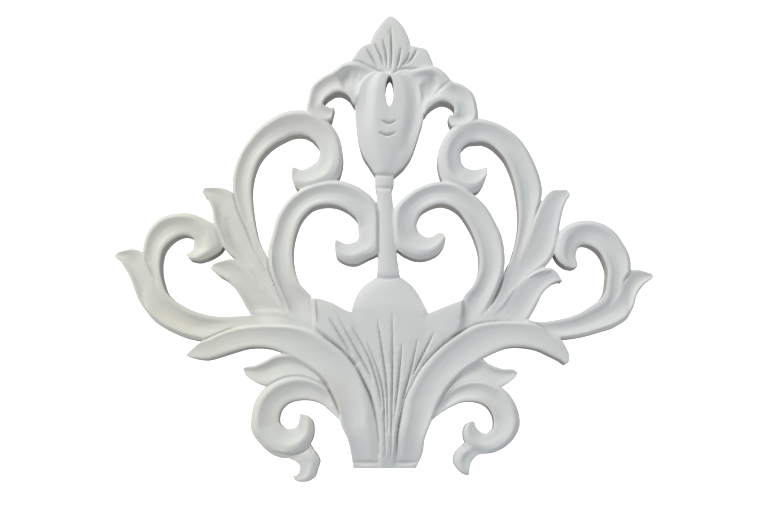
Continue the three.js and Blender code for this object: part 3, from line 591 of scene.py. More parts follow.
# Veins are fine cuts that taper at both ends, and the deepest stretches of the seams. Each is a
# row of points, X and Z.
VEINS = (
    ((-21.9, -25.9), (-16.9, -34), (-13.4, -39.7)),
    ((-18.5, -25.5), (-12, -37.4), (-7.4, -45.7), (-5.9, -48.9)),
    ((-13.4, -29.1), (-7, -41.1), (-3.5, -53), (-2.6, -59.3)),
    ((-7.9, -34.7), (-4.4, -43.8), (-2.3, -52.1), (-1.7, -64), (-1.3, -76)),
    ((-4.1, -26.4), (-2.4, -38.3), (-0.9, -50.2), (-0.3, -68)),
    ((1.3, -24.5), (1.2, -48.4), (0.7, -76)),
    ((4.8, -35.6), (3.5, -48.4), (2, -62)),
    ((10.5, -33.8), (7.7, -45.7), (5.6, -53), (3.7, -61.1)),
    ((16.4, -31.5), (11.3, -41.1), (8.7, -46.6)),
    ((-25.3, -48.1), (-23, -50.6), (-19.7, -56.6), (-17.8, -61.6)),
    ((-15, -40.2), (-11.9, -44.2), (-9.2, -49.3), (-7, -54.2), (-5.1, -61), (-4, -68), (-3.6, -75.8)),
    ((6.6, -53), (4.2, -61), (3, -69), (2.4, -75.8)),
    ((42.6, -9.5), (40.7, -15.3), (37.8, -20.8)),
    ((-2.6, 48.2), (0, 47.4), (2.7, 48.2)),
    ((-3.7, 43.6), (-0.7, 42.8), (2.6, 43.6)),
    ((0.8, 84.7), (1, 76.1), (0.8, 68.3)),
    ((-2.2, 80), (-1.1, 74.5), (-0.7, 69.1)),
    ((-5.3, 78.4), (-3, 73.7), (-1.9, 69.8)),
    ((-8.3, 76.5), (-6, 72.6), (-4.1, 69.1)),
    ((4.6, 76.9), (3.8, 72.6), (2.7, 68.3)),
    ((8, 75.1), (6.5, 72.2), (4.6, 69.5)),
    ((10.6, 76.1), (8.7, 73), (6.8, 70.6)),
)

# Seams are the crisp grooves where one band meets the next
SEAMS = (
    ((-90.4, -1.5), (-89.4, -5.2), (-87.6, -8.9), (-85.7, -12.3)),
    ((89.2, -8.3), (86.5, -12.5)),
    (
        (-57.8, 20.4), (-56.6, 15.8), (-54.6, 10.9), (-52.3, 6), (-49.7, -0.3), (-47, -5.2),
        (-42.9, -12.7),
    ),
    ((58.2, 20.5), (55.8, 16), (54.7, 12.2)),
    ((-45, -1.1), (-44.4, -7.8), (-41.7, -14.5), (-37.6, -23.4)),
    ((42.9, -8.6), (39.8, -16.4), (36.1, -23.4)),
    ((27.3, -19.4), (27.1, -23.4), (26.5, -27.1)),
    (
        (-3.2, -77), (-3.5, -70), (-5, -60), (-6.5, -55), (-9, -49.4), (-11.7, -44), (-15.5, -39.2),
        (-20.4, -35), (-24.4, -32.2),
    ),
    ((-30.8, -43.3), (-25.3, -47.3), (-21.6, -52.1), (-18.6, -59.3), (-17.6, -62.5)),
    ((34, -41.2), (28, -44.5), (24, -48.5), (21, -52), (18.5, -56.5), (16.2, -61)),
    (
        (5.6, -55.6), (7.9, -51.2), (10.4, -46.3), (14.2, -40.9), (19.2, -35.8), (25.2, -31.4),
        (32.1, -28), (40, -26.8), (48, -26.8),
    ),
    ((50.8, -25.6), (54.4, -27.5), (60.2, -31.9), (63.9, -33.8)),
    ((-69.5, -34.2), (-65, -32.3), (-60, -30.2), (-56, -29.2)),
    ((-42, -74.5), (-36, -75.3), (-30, -73.5), (-28.7, -71)),
    ((-13.9, 71.8), (-10.9, 71.4), (-7.5, 69.5), (-3.4, 67.9), (0, 66.4), (0.8, 65.6)),
    ((1.2, 66.7), (2.7, 67.9), (4.6, 68.7), (10.6, 68.7), (15.9, 69.5)),
    ((-4.5, 19.2), (-4.2, 10.9), (-4.1, 3.4), (-4.3, -5.2)),
    ((22.2, 51.7), (21.8, 49), (22.5, 46.7)),
)

# Folds are soft lines inside a band
FOLDS = (
    ((-57.4, -3.3), (-53.3, -7.1), (-48.8, -11.5), (-46.9, -14.5)),
    ((-13, -78.1), (-8, -78.4), (-3.6, -78.3)),
    ((2.6, -78.3), (6, -78.4), (10.4, -78)),
    ((-5.9, -10.4), (-1.1, -11.2), (4.8, -10.4)),
    ((-5.6, 23.4), (-1.1, 22.8), (2.4, 23.4)),
    ((-5.4, 28.2), (-2, 27.8), (2.2, 28)),
    ((-20.7, 67.5), (-17.3, 63.6), (-16.5, 61.3)),
    ((23, 63.6), (18.9, 60.5), (17, 57.8)),
)

# Ridges stand a little proud of the band that they run along
RIDGES = (
    ((-51.2, -23.4), (-40.2, -23.8), (-33.9, -26.4)),
    ((-70.2, 9.5), (-67.5, 4.5), (-68.5, -0.2), (-71.7, -2.4)),
    ((-10.6, 67.2), (-11.6, 62.1), (-12.4, 56)),
    ((11.9, 64.6), (11.9, 60), (11.6, 54)),
    ((-52.4, 10.9), (-48.5, -3), (-45.9, -7.8)),
)

# Lips are the sharp bright edges beside a seam
LIPS = (
    ((-27.7, -18.6), (-27.3, -22), (-26.8, -26.8)),
    ((60, -7.9), (55.8, -8.4), (51.6, -10.4)),
    ((-43.4, -1), (-43, -7.6), (-40.4, -14.3), (-36.5, -22.6)),
)

# Hollows are broad shallow dips
HOLLOWS = (
    ((-14.4, 69.1), (-16.4, 65.2), (-15.4, 59.8)),
    ((16.6, 67), (16.2, 62.1), (14.9, 57.4)),
    ((-60.2, 12), (-57.5, 2), (-51.5, -6.2)),
)


def smooth_line(points: np.ndarray, shares: np.ndarray) -> np.ndarray:
    """A centripetal Catmull-Rom curve through drawn points.

    Args:
        points: The points, one row each.
        shares: Places along the curve, from 0 to 1, evenly spread over the stretches.

    Returns:
        The curve's points at those places.
    """
    ends = np.vstack([2 * points[0] - points[1], points, 2 * points[-1] - points[-2]])
    place = shares * (len(points) - 1)
    k = np.minimum(place.astype(int), len(points) - 2)
    w = (place - k)[:, None]
    p = [ends[k + step] for step in range(4)]
    d = [np.sqrt(np.linalg.norm(p[i + 1] - p[i], axis=1) + LEAST)[:, None] for i in range(3)]
    lead = ((p[1] - p[0]) / d[0] - (p[2] - p[0]) / (d[0] + d[1]) + (p[2] - p[1]) / d[1]) * d[1]
    tail = ((p[2] - p[1]) / d[1] - (p[3] - p[1]) / (d[1] + d[2]) + (p[3] - p[2]) / d[2]) * d[1]
    square = -3 * p[1] + 3 * p[2] - 2 * lead - tail
    cube = 2 * p[1] - 2 * p[2] + lead + tail
    return p[1] + lead * w + square * w**2 + cube * w**3


def even_curve(places: np.ndarray, values: np.ndarray, at: np.ndarray) -> np.ndarray:
    """A smooth curve through values that never swings past them.

    Args:
        places: Rising places of the values.
        values: The values there.
        at: Where the curve is wanted.

    Returns:
        The curve's values.
    """
    gaps = np.maximum(np.diff(places), TINY)
    slopes = np.diff(values) / gaps
    inner = np.zeros(len(values))
    for k in range(1, len(values) - 1):
        if slopes[k - 1] * slopes[k] > 0:
            a = 2 * gaps[k] + gaps[k - 1]
            b = gaps[k] + 2 * gaps[k - 1]
            inner[k] = (a + b) / (a / slopes[k - 1] + b / slopes[k])
    inner[0] = slopes[0]
    inner[-1] = slopes[-1]
    k = np.clip(np.searchsorted(places, at, side="right") - 1, 0, len(values) - 2)
    w = np.clip((at - places[k]) / gaps[k], 0, 1)
    start = (1 + 2 * w) * (1 - w) ** 2 * values[k] + w * (1 - w) ** 2 * gaps[k] * inner[k]
    return start + w**2 * (3 - 2 * w) * values[k + 1] - w**2 * (1 - w) * gaps[k] * inner[k + 1]


def ease(value: np.ndarray) -> np.ndarray:
    """A share from 0 to 1 that starts and ends gently."""
    share = np.clip(value, 0, 1)
    return share * share * (3 - 2 * share)


def bilinear(table: np.ndarray, across: np.ndarray, down: np.ndarray, eased: bool = False) -> np.ndarray:
    """Values between the entries of a table.

    Args:
        table: Rows and columns of values.
        across: Column places, which need not be whole.
        down: Row places, which need not be whole.
        eased: Whether the values level out at each entry.

    Returns:
        The values there.
    """
    inset = 1.001
    a = np.clip(across, 0, table.shape[1] - inset)
    b = np.clip(down, 0, table.shape[0] - inset)
    i = a.astype(int)
    j = b.astype(int)
    u, v = (ease(a - i), ease(b - j)) if eased else (a - i, b - j)
    low = table[j, i] * (1 - u) + table[j, i + 1] * u
    return low * (1 - v) + (table[j + 1, i] * (1 - u) + table[j + 1, i + 1] * u) * v


def pairs_along(axis: int) -> tuple[tuple[slice, ...], tuple[slice, ...]]:
    """Pairs every grid node with the next one along an axis.

    Args:
        axis: The axis, 0 for up and 1 for across.

    Returns:
        The slices of the first and of the second node of each pair.
    """
    here = [slice(None), slice(None)]
    there = [slice(None), slice(None)]
    here[axis] = slice(0, -1)
    there[axis] = slice(1, None)
    return tuple(here), tuple(there)


@dataclass
class Relief:
    """The drawing as fields on a regular grid.

    Attributes:
        low: X and Z of the drawing's lowest corner, in millimetres.
        high: X and Z of its highest corner.
        limit: The greatest height that the carving may have.
        pitch: Distance between grid nodes, in millimetres.
        margin: Room round the drawing.
        arris: Radius of the rounded edge between the carving and the walls.
        far: The distance that stands for every greater one.
        near: How many nodes from an outline the distance to it is measured.
        meeting: How many times an old outline is blurred where a band crosses it.
        smoothing: How many times the finished carving is evened out.
        fine_wave: Length of the finer unevenness, as a share of the broad one's.
        fine_swell: Its height, as a share of the broad one's.
    """

    low: np.ndarray
    high: np.ndarray
    limit: float
    pitch: float = 0.23
    margin: float = 1.6
    arris: float = 0.32
    far: float = 2.0
    near: int = 3
    meeting: int = 3
    smoothing: int = 3
    fine_wave: float = 0.3
    fine_swell: float = 0.35

    def __post_init__(self) -> None:
        """Lays out the grid."""
        self.origin = self.low - self.margin
        count = np.ceil((self.high - self.low + 2 * self.margin) / self.pitch).astype(int) + 1
        self.shape = (int(count[1]), int(count[0]))
        rows, columns = np.indices(self.shape)
        self.x = self.origin[0] + columns * self.pitch
        self.z = self.origin[1] + rows * self.pitch
        self.height = np.zeros(self.shape)
        self.inside = np.zeros(self.shape, bool)
        self.bound = np.full(self.shape, -self.far)

    def fill(
        self, points: np.ndarray, values: np.ndarray, corners: np.ndarray
    ) -> tuple[np.ndarray, np.ndarray]:
        """Spreads values given at points over the grid nodes in the triangles between them.

        Args:
            points: X and Z of the points.
            values: A row of values for each point.
            corners: Three point numbers for each triangle.

        Returns:
            The values on the grid, and a mask of the nodes that were reached.
        """
        cells = (points - self.origin) / self.pitch
        triangles = cells[corners]
        low = np.floor(triangles.min(1)).astype(int)
        span = (np.ceil(triangles.max(1)).astype(int) - low).max(0)
        a, b, c = triangles[:, 0], triangles[:, 1], triangles[:, 2]
        va, vb, vc = values[corners[:, 0]], values[corners[:, 1]], values[corners[:, 2]]
        area = cross(b - a, c - a)
        real = np.abs(area) > LEAST
        area[~real] = 1
        reached = np.zeros(self.shape, bool)
        spread = np.zeros(self.shape + (values.shape[1],))
        for dx in range(span[0] + 1):
            for dz in range(span[1] + 1):
                node = low + (dx, dz)
                wb = cross(node - a, c - a) / area
                wc = cross(b - a, node - a) / area
                wa = 1 - wb - wc
                hit = real & (np.minimum(np.minimum(wa, wb), wc) >= -TINY)
                hit &= (node >= 0).all(1) & (node[:, 0] < self.shape[1]) & (node[:, 1] < self.shape[0])
                mixed = wa[hit, None] * va[hit] + wb[hit, None] * vb[hit] + wc[hit, None] * vc[hit]
                spread[node[hit, 1], node[hit, 0]] = mixed
                reached[node[hit, 1], node[hit, 0]] = True
        return spread, reached

    def add(self, band: Band) -> None:
        """Carves one band into the fields.

        Args:
            band: The band.
        """
        steps = 260
        strips = 6
        shares = np.linspace(0, 1, steps + 1)
        outer, inner = band.edges(shares)
        across = np.linspace(0, 1, strips + 1)
        points = outer[:, None] * (1 - across[:, None]) + inner[:, None] * across[:, None]
        width = np.linalg.norm(outer - inner, axis=1)
        values = np.stack(np.broadcast_arrays(shares[:, None], across, width[:, None]), -1)
        first = (np.arange(steps)[:, None] * (strips + 1) + np.arange(strips)).ravel()
        last = first + strips + 1
        halves = ((first, first + 1, last + 1), (first, last + 1, last))
        corners = np.vstack([np.stack(half, 1) for half in halves])
        field, reached = self.fill(points.reshape(-1, 2), values.reshape(-1, 3), corners)
        along, share, wide = field[reached].T
        carved = band.heights(along, share, wide)
        fresh = ~self.inside[reached]
        below = self.height[reached]
        if band.root:
            rooted = reached.copy()
            rooted[reached] = along < band.root
            below = self.carried_on(rooted)[reached]
        weight = ease(np.minimum(share, 1 - share) * wide / band.side)
        free = (~self.inside).astype(float)
        for _ in range(self.meeting):
            free = blur(free)
        weight = np.where(fresh, 1, weight + (1 - weight) * ease(free[reached] * 2))
        if band.root:
            weight = weight * ease(along / band.root)
        laid = below + (carved - below) * weight
        if band.blend is Blend.HIGHER:
            laid = np.where(fresh, laid, np.maximum(below, laid))
        self.height[reached] = laid
        self.inside |= reached
        self.add_bound(np.vstack([outer, inner[::-1]]), reached)

    def carried_on(self, reached: np.ndarray, reach: int = 90) -> np.ndarray:
        """The carving so far, carried on past its outline, so that a band can grow out of it.

        Args:
            reached: The nodes where it is wanted.
            reach: How many nodes past the outline it goes.

        Returns:
            Heights, in millimetres.
        """
        rows, columns = np.nonzero(reached)
        window = (slice(rows.min() - 2, rows.max() + 3), slice(columns.min() - 2, columns.max() + 3))
        known = self.inside[window].astype(float)
        height = self.height[window] * known
        for _ in range(reach):
            total = blur(height * known)
            share = blur(known)
            fresh = (known == 0) & (share > 0)
            height[fresh] = total[fresh] / share[fresh]
            known[fresh] = 1
        carried = self.height.copy()
        carried[window] = height
        return carried

    def add_bound(self, outline: np.ndarray, reached: np.ndarray) -> None:
        """Keeps the signed distance to the nearest outline near that outline, inside positive.

        Args:
            outline: The closed outline's points.
            reached: The nodes inside it.
        """
        near = ring(reached, self.near) | (reached & ring(~reached, self.near))
        nodes = np.stack([self.x[near], self.z[near]], 1)
        distance = distance_to_line(nodes, outline)
        signed = np.where(reached[near], distance, -distance)
        self.bound[reached & ~near] = self.far
        self.bound[near] = np.maximum(self.bound[near], signed)

    def close_gaps(self, depth: float = 0.05) -> None:
        """Fills the hair-thin gaps that are left where two bands only touch.

        Args:
            depth: How far inside the outline a filled node counts, in millimetres.
        """
        solid = self.bound > 0
        grown = solid | ring(solid, 1)
        filled = grown & ~ring(~grown, 1) & ~solid
        self.height = np.where(filled & ~self.inside, self.carried_on(filled, reach=3), self.height)
        self.bound[filled] = depth
        self.inside |= filled

    def cut(self, outline: np.ndarray, corners: np.ndarray) -> None:
        """Cuts a hole through everything.

        Args:
            outline: The hole's closed outline.
            corners: Three point numbers of it for each triangle that fills it.
        """
        _, reached = self.fill(outline, np.zeros((len(outline), 1)), corners)
        near = ring(reached, self.near + 1) | reached
        nodes = np.stack([self.x[near], self.z[near]], 1)
        distance = distance_to_line(nodes, outline)
        signed = np.where(reached[near], -distance, distance)
        self.bound[near] = np.minimum(self.bound[near], signed)

    def edge_distance(self, reach: int = 6) -> np.ndarray:
        """Distance from each inside node to the casting's outline, up to a few nodes away.

        Args:
            reach: How many nodes away is still measured.

        Returns:
            Distances in millimetres, inside the outline.
        """
        inside = self.bound > 0
        best = np.full(self.shape, np.inf)
        foot = np.full(self.shape + (2,), np.inf)
        for axis in (0, 1):
            here, there = pairs_along(axis)
            crossed = inside[here] != inside[there]
            a = self.bound[here]
            b = self.bound[there]
            share = np.where(crossed, a / np.where(crossed, a - b, 1), 0)
            px = self.x[here] + share * (self.x[there] - self.x[here])
            pz = self.z[here] + share * (self.z[there] - self.z[here])
            for part in (here, there):
                gap = np.where(crossed, np.hypot(px - self.x[part], pz - self.z[part]), np.inf)
                better = gap < best[part]
                best[part] = np.where(better, gap, best[part])
                foot[part] = np.where(better[..., None], np.stack([px, pz], -1), foot[part])
        for _ in range(reach):
            for dz, dx in ((0, 1), (0, -1), (1, 0), (-1, 0), (1, 1), (1, -1), (-1, 1), (-1, -1)):
                moved = np.roll(foot, (dz, dx), (0, 1))
                gap = np.hypot(moved[..., 0] - self.x, moved[..., 1] - self.z)
                better = gap < best
                best = np.where(better, gap, best)
                foot = np.where(better[..., None], moved, foot)
        return np.where(inside, best, 0)

    def soften(self, passes: int) -> None:
        """Evens out the carving without letting the ground outside it in.

        Args:
            passes: How many times each node is mixed with its neighbours.
        """
        weight = self.inside.astype(float)
        for _ in range(passes):
            total = blur(self.height * weight)
            share = blur(weight)
            self.height = np.where(self.inside, total / np.maximum(share, TINY), self.height)

    def finish(self, seed: int, wave: float, swell: float) -> None:
        """Adds the hand's slight unevenness and rounds the outer edge.

        Args:
            seed: Seed of the unevenness.
            wave: Distance between its swells, in millimetres.
            swell: Its height, in millimetres.
        """
        self.soften(self.smoothing)
        self.height += swell * waves(self.x, self.z, wave, seed)
        finer = waves(self.x, self.z, self.fine_wave * wave, seed + 1)
        self.height += self.fine_swell * swell * finer
        gap = self.edge_distance()
        short = np.clip(1 - gap / self.arris, 0, 1)
        drop = self.arris * (1 - np.sqrt(np.clip(1 - short**2, 0, 1)))
        self.crown = np.minimum(self.height, self.limit)
        self.surface = self.crown - np.where(self.bound > 0, drop, 0)


def cross(a: np.ndarray, b: np.ndarray) -> np.ndarray:
    """The flat cross product of rows of vectors."""
    return a[:, 0] * b[:, 1] - a[:, 1] * b[:, 0]


def ring(mask: np.ndarray, reach: int) -> np.ndarray:
    """The nodes just outside a mask.

    Args:
        mask: The mask.
        reach: How many nodes wide the ring is.

    Returns:
        A mask of the ring.
    """
    grown = mask.copy()
    for _ in range(reach):
        wide = grown.copy()
        wide[1:] |= grown[:-1]
        wide[:-1] |= grown[1:]
        wide[:, 1:] |= grown[:, :-1]
        wide[:, :-1] |= grown[:, 1:]
        grown = wide
    return grown & ~mask


def blur(field: np.ndarray) -> np.ndarray:
    """Each node mixed with its eight neighbours, the nearer ones more."""
    for axis in (0, 1):
        field = 0.5 * field + 0.25 * (np.roll(field, 1, axis) + np.roll(field, -1, axis))
    return field


def distance_to_line(nodes: np.ndarray, outline: np.ndarray) -> np.ndarray:
    """Distance from each node to a closed line.

    Args:
        nodes: X and Z of the nodes.
        outline: The closed line's points.

    Returns:
        One distance for each node.
    """
    start = outline.astype(np.float32)
    way = np.roll(start, -1, 0) - start
    length = np.maximum((way**2).sum(1), LEAST)
    best = np.empty(len(nodes), np.float32)
    chunk = 2000
    for first in range(0, len(nodes), chunk):
        part = nodes[first : first + chunk].astype(np.float32)
        gap = part[:, None] - start[None]
        share = np.clip((gap * way).sum(2) / length, 0, 1)
        gap = gap - share[..., None] * way
        best[first : first + chunk] = (gap**2).sum(2).min(1)
    return np.sqrt(best)


def waves(x: np.ndarray, z: np.ndarray, size: float, seed: int) -> np.ndarray:
    """Smooth seeded unevenness, about 1 high.

    Args:
        x: X of the places.
        z: Z of the places.
        size: Distance between the swells.
        seed: Seed of the unevenness.

    Returns:
        The unevenness at each place.
    """
    rng = np.random.default_rng(seed)
    across = (x - x.min()) / size
    up = (z - z.min()) / size
    spare = 3
    table = rng.uniform(-1, 1, (int(up.max()) + spare, int(across.max()) + spare))
    return bilinear(table, across, up, eased=True)


@dataclass(frozen=True)
class Eye:
    """The pointed oval eye through the flower, which leans a little.

    Attributes:
        x: X of its middle, in millimetres.
        z: Z of its middle.
        half_width: Half its width.
        half_height: Half its height.
        lean: How far its top leans sideways.
        point: How pointed its ends are, 0 for an ellipse.
        steps: How many points its outline has.
    """

    x: float = 0.2
    z: float = 59.9
    half_width: float = 1.5
    half_height: float = 5.9
    lean: float = 0.1
    point: float = 0.12
    steps: int = 80

    def outline(self) -> tuple[np.ndarray, np.ndarray]:
        """The eye's outline.

        Returns:
            Its points, and the triangles that fill it.
        """
        turn = np.linspace(0, 2 * math.pi, self.steps, endpoint=False)
        up = -np.cos(turn)
        out = np.sin(turn) * np.abs(np.sin(turn)) ** self.point
        x = self.x + self.lean * up + self.half_width * out
        z = self.z + self.half_height * up
        first = np.arange(1, self.steps - 1)
        return np.stack([x, z], 1), np.stack([np.zeros_like(first), first, first + 1], 1)


@dataclass
class LineCutter:
    """Cuts grooves along drawn lines into a surface, by Geometry Nodes.

    Attributes:
        name: What the grooves are.
        lines: Rows of points, X and Z in millimetres.
        half_width: Half the groove's width at the surface, in millimetres.
        depth: The groove's depth, in millimetres, or less than 0 for a ridge.
        round_floor: 0 for a V-shaped cut, 1 for a round one.
        taper: Share of the depth that is left at a line's ends.
        run_out: Power of the curve by which the depth runs out towards the ends.
        spacing: Distance between the wire's points, in millimetres.
        fewest: The fewest stretches that a line's wire has.
    """

    name: str
    lines: tuple
    half_width: float
    depth: float
    round_floor: float
    taper: float = 0.15
    run_out: float = 0.6
    spacing: float = 0.3
    fewest: int = 6

    def guide(self, scale: float) -> bpy.types.Object:
        """The drawn lines as a wire mesh with a taper at every point.

        Args:
            scale: Casting millimetres in a drawn one.

        Returns:
            The wire's object.
        """
        points, edges, tapers = [], [], []
        for line in self.lines:
            drawn = np.array(line, float)
            length = np.linalg.norm(np.diff(drawn, axis=0), axis=1).sum()
            count = max(self.fewest, int(length / self.spacing))
            shares = np.linspace(0, 1, count + 1)
            first = len(points)
            for x, z in smooth_line(drawn, shares) * scale * MM:
                points.append((x, 0, z))
            edges += [(first + k, first + k + 1) for k in range(count)]
            swelling = np.sin(math.pi * shares) ** self.run_out
            tapers += list(self.taper + (1 - self.taper) * swelling)
        mesh = bpy.data.meshes.new(self.name)
        mesh.from_pydata(points, edges, [])
        mesh.attributes.new("taper", "FLOAT", "POINT").data.foreach_set("value", tapers)
        guide = bpy.data.objects.new(self.name, mesh)
        bpy.context.scene.collection.objects.link(guide)
        return guide

    def cut(self, piece: bpy.types.Object, scale: float, finish: bpy.types.Material) -> None:
        """Cuts the grooves into a piece and leaves it a plain mesh.

        Args:
            piece: The piece.
            scale: Casting millimetres in a drawn one.
            finish: The material that the piece is given.
        """
        guide = self.guide(scale)
        tree = groove_tree()
        modifier = piece.modifiers.new(self.name, "NODES")
        modifier.node_group = tree
        settings = {
            "Lines": guide,
            "Half width": self.half_width * MM,
            "Depth": self.depth * MM,
            "Round floor": self.round_floor,
            "Finish": finish,
        }
        for item in tree.interface.items_tree:
            if item.in_out == "INPUT" and item.name in settings:
                modifier[item.identifier] = settings[item.name]
        bake_modifiers(piece)
        bpy.data.objects.remove(guide)


# The cuts are made in this order, from the broadest to the finest
CUTTERS = (
    LineCutter("hollows", HOLLOWS, half_width=3.2, depth=0.8, round_floor=1),
    LineCutter("ridges", RIDGES, half_width=1.8, depth=-0.35, round_floor=1),
    LineCutter("lips", LIPS, half_width=1.1, depth=-0.85, round_floor=0.5),
    LineCutter("folds", FOLDS, half_width=1.3, depth=0.45, round_floor=1),
    LineCutter("seams", SEAMS, half_width=0.8, depth=0.8, round_floor=0.2),
    LineCutter("veins", VEINS, half_width=0.75, depth=1.25, round_floor=0),
)


def bake_modifiers(piece: bpy.types.Object) -> None:
    """Turns a piece with modifiers into the plain mesh that they give.

    Args:
        piece: The piece.
    """
    graph = bpy.context.evaluated_depsgraph_get()
    baked = bpy.data.meshes.new_from_object(piece.evaluated_get(graph), depsgraph=graph)
    piece.modifiers.clear()
    piece.data = baked


class NodeMaths:
    """A value in a node tree that Python's own operators add Math nodes to."""

    def __init__(self, tree: bpy.types.NodeTree, socket: bpy.types.NodeSocket | None) -> None:
        """Wraps an output socket of a tree, or nothing for a node that ends it."""
        self.tree = tree
        self.socket = socket

    def part(self, output: str | int) -> NodeMaths:
        """Another output of the same node."""
        return NodeMaths(self.tree, self.socket.node.outputs[output])

    def join(self, operation: str, other: NodeMaths | float, swapped: bool = False) -> NodeMaths:
        """Adds one Math node.

        Args:
            operation: The node's operation.
            other: The other value.
            swapped: Whether the other value comes first.

        Returns:
            The result.
        """
        pair = (other, self) if swapped else (self, other)
        return add_node(self.tree, "ShaderNodeMath", {"operation": operation}, dict(enumerate(pair)))

    def __add__(self, other: NodeMaths | float) -> NodeMaths:
        """The sum."""
        return self.join("ADD", other)

    __radd__ = __add__

    def __sub__(self, other: NodeMaths | float) -> NodeMaths:
        """The difference."""
        return self.join("SUBTRACT", other)

    def __rsub__(self, other: float) -> NodeMaths:
        """The difference from a number."""
        return self.join("SUBTRACT", other, swapped=True)

    def __mul__(self, other: NodeMaths | float) -> NodeMaths:
        """The product."""
        return self.join("MULTIPLY", other)

    __rmul__ = __mul__

    def __truediv__(self, other: NodeMaths | float) -> NodeMaths:
        """The quotient."""
        return self.join("DIVIDE", other)

    def clamp(self) -> NodeMaths:
        """The value held between 0 and 1."""
        settings = {"operation": "MULTIPLY", "use_clamp": True}
        return add_node(self.tree, "ShaderNodeMath", settings, {0: self, 1: 1.0})


def add_node(
    tree: bpy.types.NodeTree,
    kind: str,
    settings: dict | None = None,
    values: dict | None = None,
    output: str | int = 0,
) -> NodeMaths:
    """Adds one node of any kind.

    Args:
        tree: The tree.
        kind: The node's type.
        settings: Its own settings, which are set first.
        values: A value or a link for each of its sockets, by name or number.
        output: The output that is wanted.

    Returns:
        That output.
    """
    node = tree.nodes.new(kind)
    for name, value in (settings or {}).items():
        setattr(node, name, value)
    for name, value in (values or {}).items():
        if isinstance(value, NodeMaths):
            tree.links.new(value.socket, node.inputs[name])
        else:
            node.inputs[name].default_value = value
    return NodeMaths(tree, node.outputs[output] if node.outputs else None)


def mix_colour(
    tree: bpy.types.NodeTree,
    share: NodeMaths | float,
    first: NodeMaths | tuple,
    second: NodeMaths | tuple,
) -> NodeMaths:
    """Mixes two colours.

    Args:
        tree: The tree.
        share: The second colour's share.
        first: The first colour.
        second: The second colour.

    Returns:
        The mixed colour.
    """
    settings = {"data_type": "RGBA", "blend_type": "MIX"}
    factor, colour_a, colour_b, mixed = 0, 6, 7, 2
    values = {factor: share, colour_a: first, colour_b: second}
    return add_node(tree, "ShaderNodeMix", settings, values, mixed)


def groove_tree() -> bpy.types.NodeTree:
    """The Geometry Nodes tree that presses grooves along a wire into a surface.

    Returns:
        The tree.
    """
    name = "press_grooves"
    if name in bpy.data.node_groups:
        return bpy.data.node_groups[name]
    end_width = 0.4
    back_skin = -0.003
    tree = bpy.data.node_groups.new(name, "GeometryNodeTree")
    sockets = (
        ("Geometry", "NodeSocketGeometry"),
        ("Lines", "NodeSocketObject"),
        ("Half width", "NodeSocketFloat"),
        ("Depth", "NodeSocketFloat"),
        ("Round floor", "NodeSocketFloat"),
        ("Finish", "NodeSocketMaterial"),
    )
    for label, kind in sockets:
        tree.interface.new_socket(label, in_out="INPUT", socket_type=kind)
    tree.interface.new_socket("Geometry", in_out="OUTPUT", socket_type="NodeSocketGeometry")
    entry = add_node(tree, "NodeGroupInput")
    given = {label: entry.part(label) for label, _ in sockets}
    wire = add_node(tree, "GeometryNodeObjectInfo", {}, {"Object": given["Lines"]}, "Geometry")
    place = add_node(tree, "GeometryNodeInputPosition")
    parts = add_node(tree, "ShaderNodeSeparateXYZ", {}, {0: place})
    flat = add_node(tree, "ShaderNodeCombineXYZ", {}, {0: parts.part(0), 2: parts.part(2)})
    edges = {"target_element": "EDGES"}
    gap = add_node(tree, "GeometryNodeProximity", edges, {0: wire, "Sample Position": flat}, "Distance")
    index = add_node(tree, "GeometryNodeSampleNearest", {}, {"Geometry": wire, "Sample Position": flat})
    number = {"data_type": "FLOAT"}
    named = add_node(tree, "GeometryNodeInputNamedAttribute", number, {"Name": "taper"}, "Attribute")
    sample = {"Geometry": wire, "Value": named, "Index": index}
    taper = add_node(tree, "GeometryNodeSampleIndex", number, sample)
    share = (1 - gap / (given["Half width"] * (end_width + (1 - end_width) * taper))).clamp()
    soft = share * share * (3 - 2 * share)
    shape = share + (soft - share) * given["Round floor"]
    less = {"operation": "LESS_THAN"}
    ahead = add_node(tree, "ShaderNodeMath", less, {0: parts.part(1), 1: back_skin})
    move = add_node(tree, "ShaderNodeCombineXYZ", {}, {1: shape * taper * given["Depth"] * ahead})
    cut = add_node(tree, "GeometryNodeSetPosition", {}, {"Geometry": given["Geometry"], "Offset": move})
    real = add_node(tree, "GeometryNodeRealizeInstances", {}, {"Geometry": cut})
    dress = {"Geometry": real, "Material": given["Finish"]}
    dressed = add_node(tree, "GeometryNodeSetMaterial", {}, dress)
    add_node(tree, "NodeGroupOutput", {}, {0: dressed})
    return tree


def face_points(relief: Relief) -> tuple[np.ndarray, np.ndarray, np.ndarray, list[np.ndarray]]:
    """The points of a relief's face: its inside nodes, then where the grid crosses its outline.

    Args:
        relief: The relief.

    Returns:
        X and Z of the points, their heights, the point number of each node, and the point
        number on each upright and each level grid line, or -1 where there is none.
    """
    least = 0.04
    inside = relief.bound > 0
    total = int(inside.sum())
    node = np.full(relief.shape, -1)
    node[inside] = np.arange(total)
    places = [np.stack([relief.x[inside], relief.z[inside]], 1)]
    tops = [relief.surface[inside]]
    crossing = []
    for axis in (0, 1):
        here, there = pairs_along(axis)
        crossed = inside[here] != inside[there]
        a = relief.bound[here][crossed]
        b = relief.bound[there][crossed]
        share = np.clip(a / (a - b), least, 1 - least)
        px = relief.x[here][crossed] + share * (relief.x[there] - relief.x[here])[crossed]
        pz = relief.z[here][crossed] + share * (relief.z[there] - relief.z[here])[crossed]
        crown = np.where(inside[here], relief.crown[here], relief.crown[there])[crossed]
        number = np.full(crossed.shape, -1)
        number[crossed] = total + np.arange(len(px))
        total += len(px)
        places.append(np.stack([px, pz], 1))
        tops.append(crown - relief.arris)
        crossing.append(number)
    return np.vstack(places), np.concatenate(tops), node, crossing


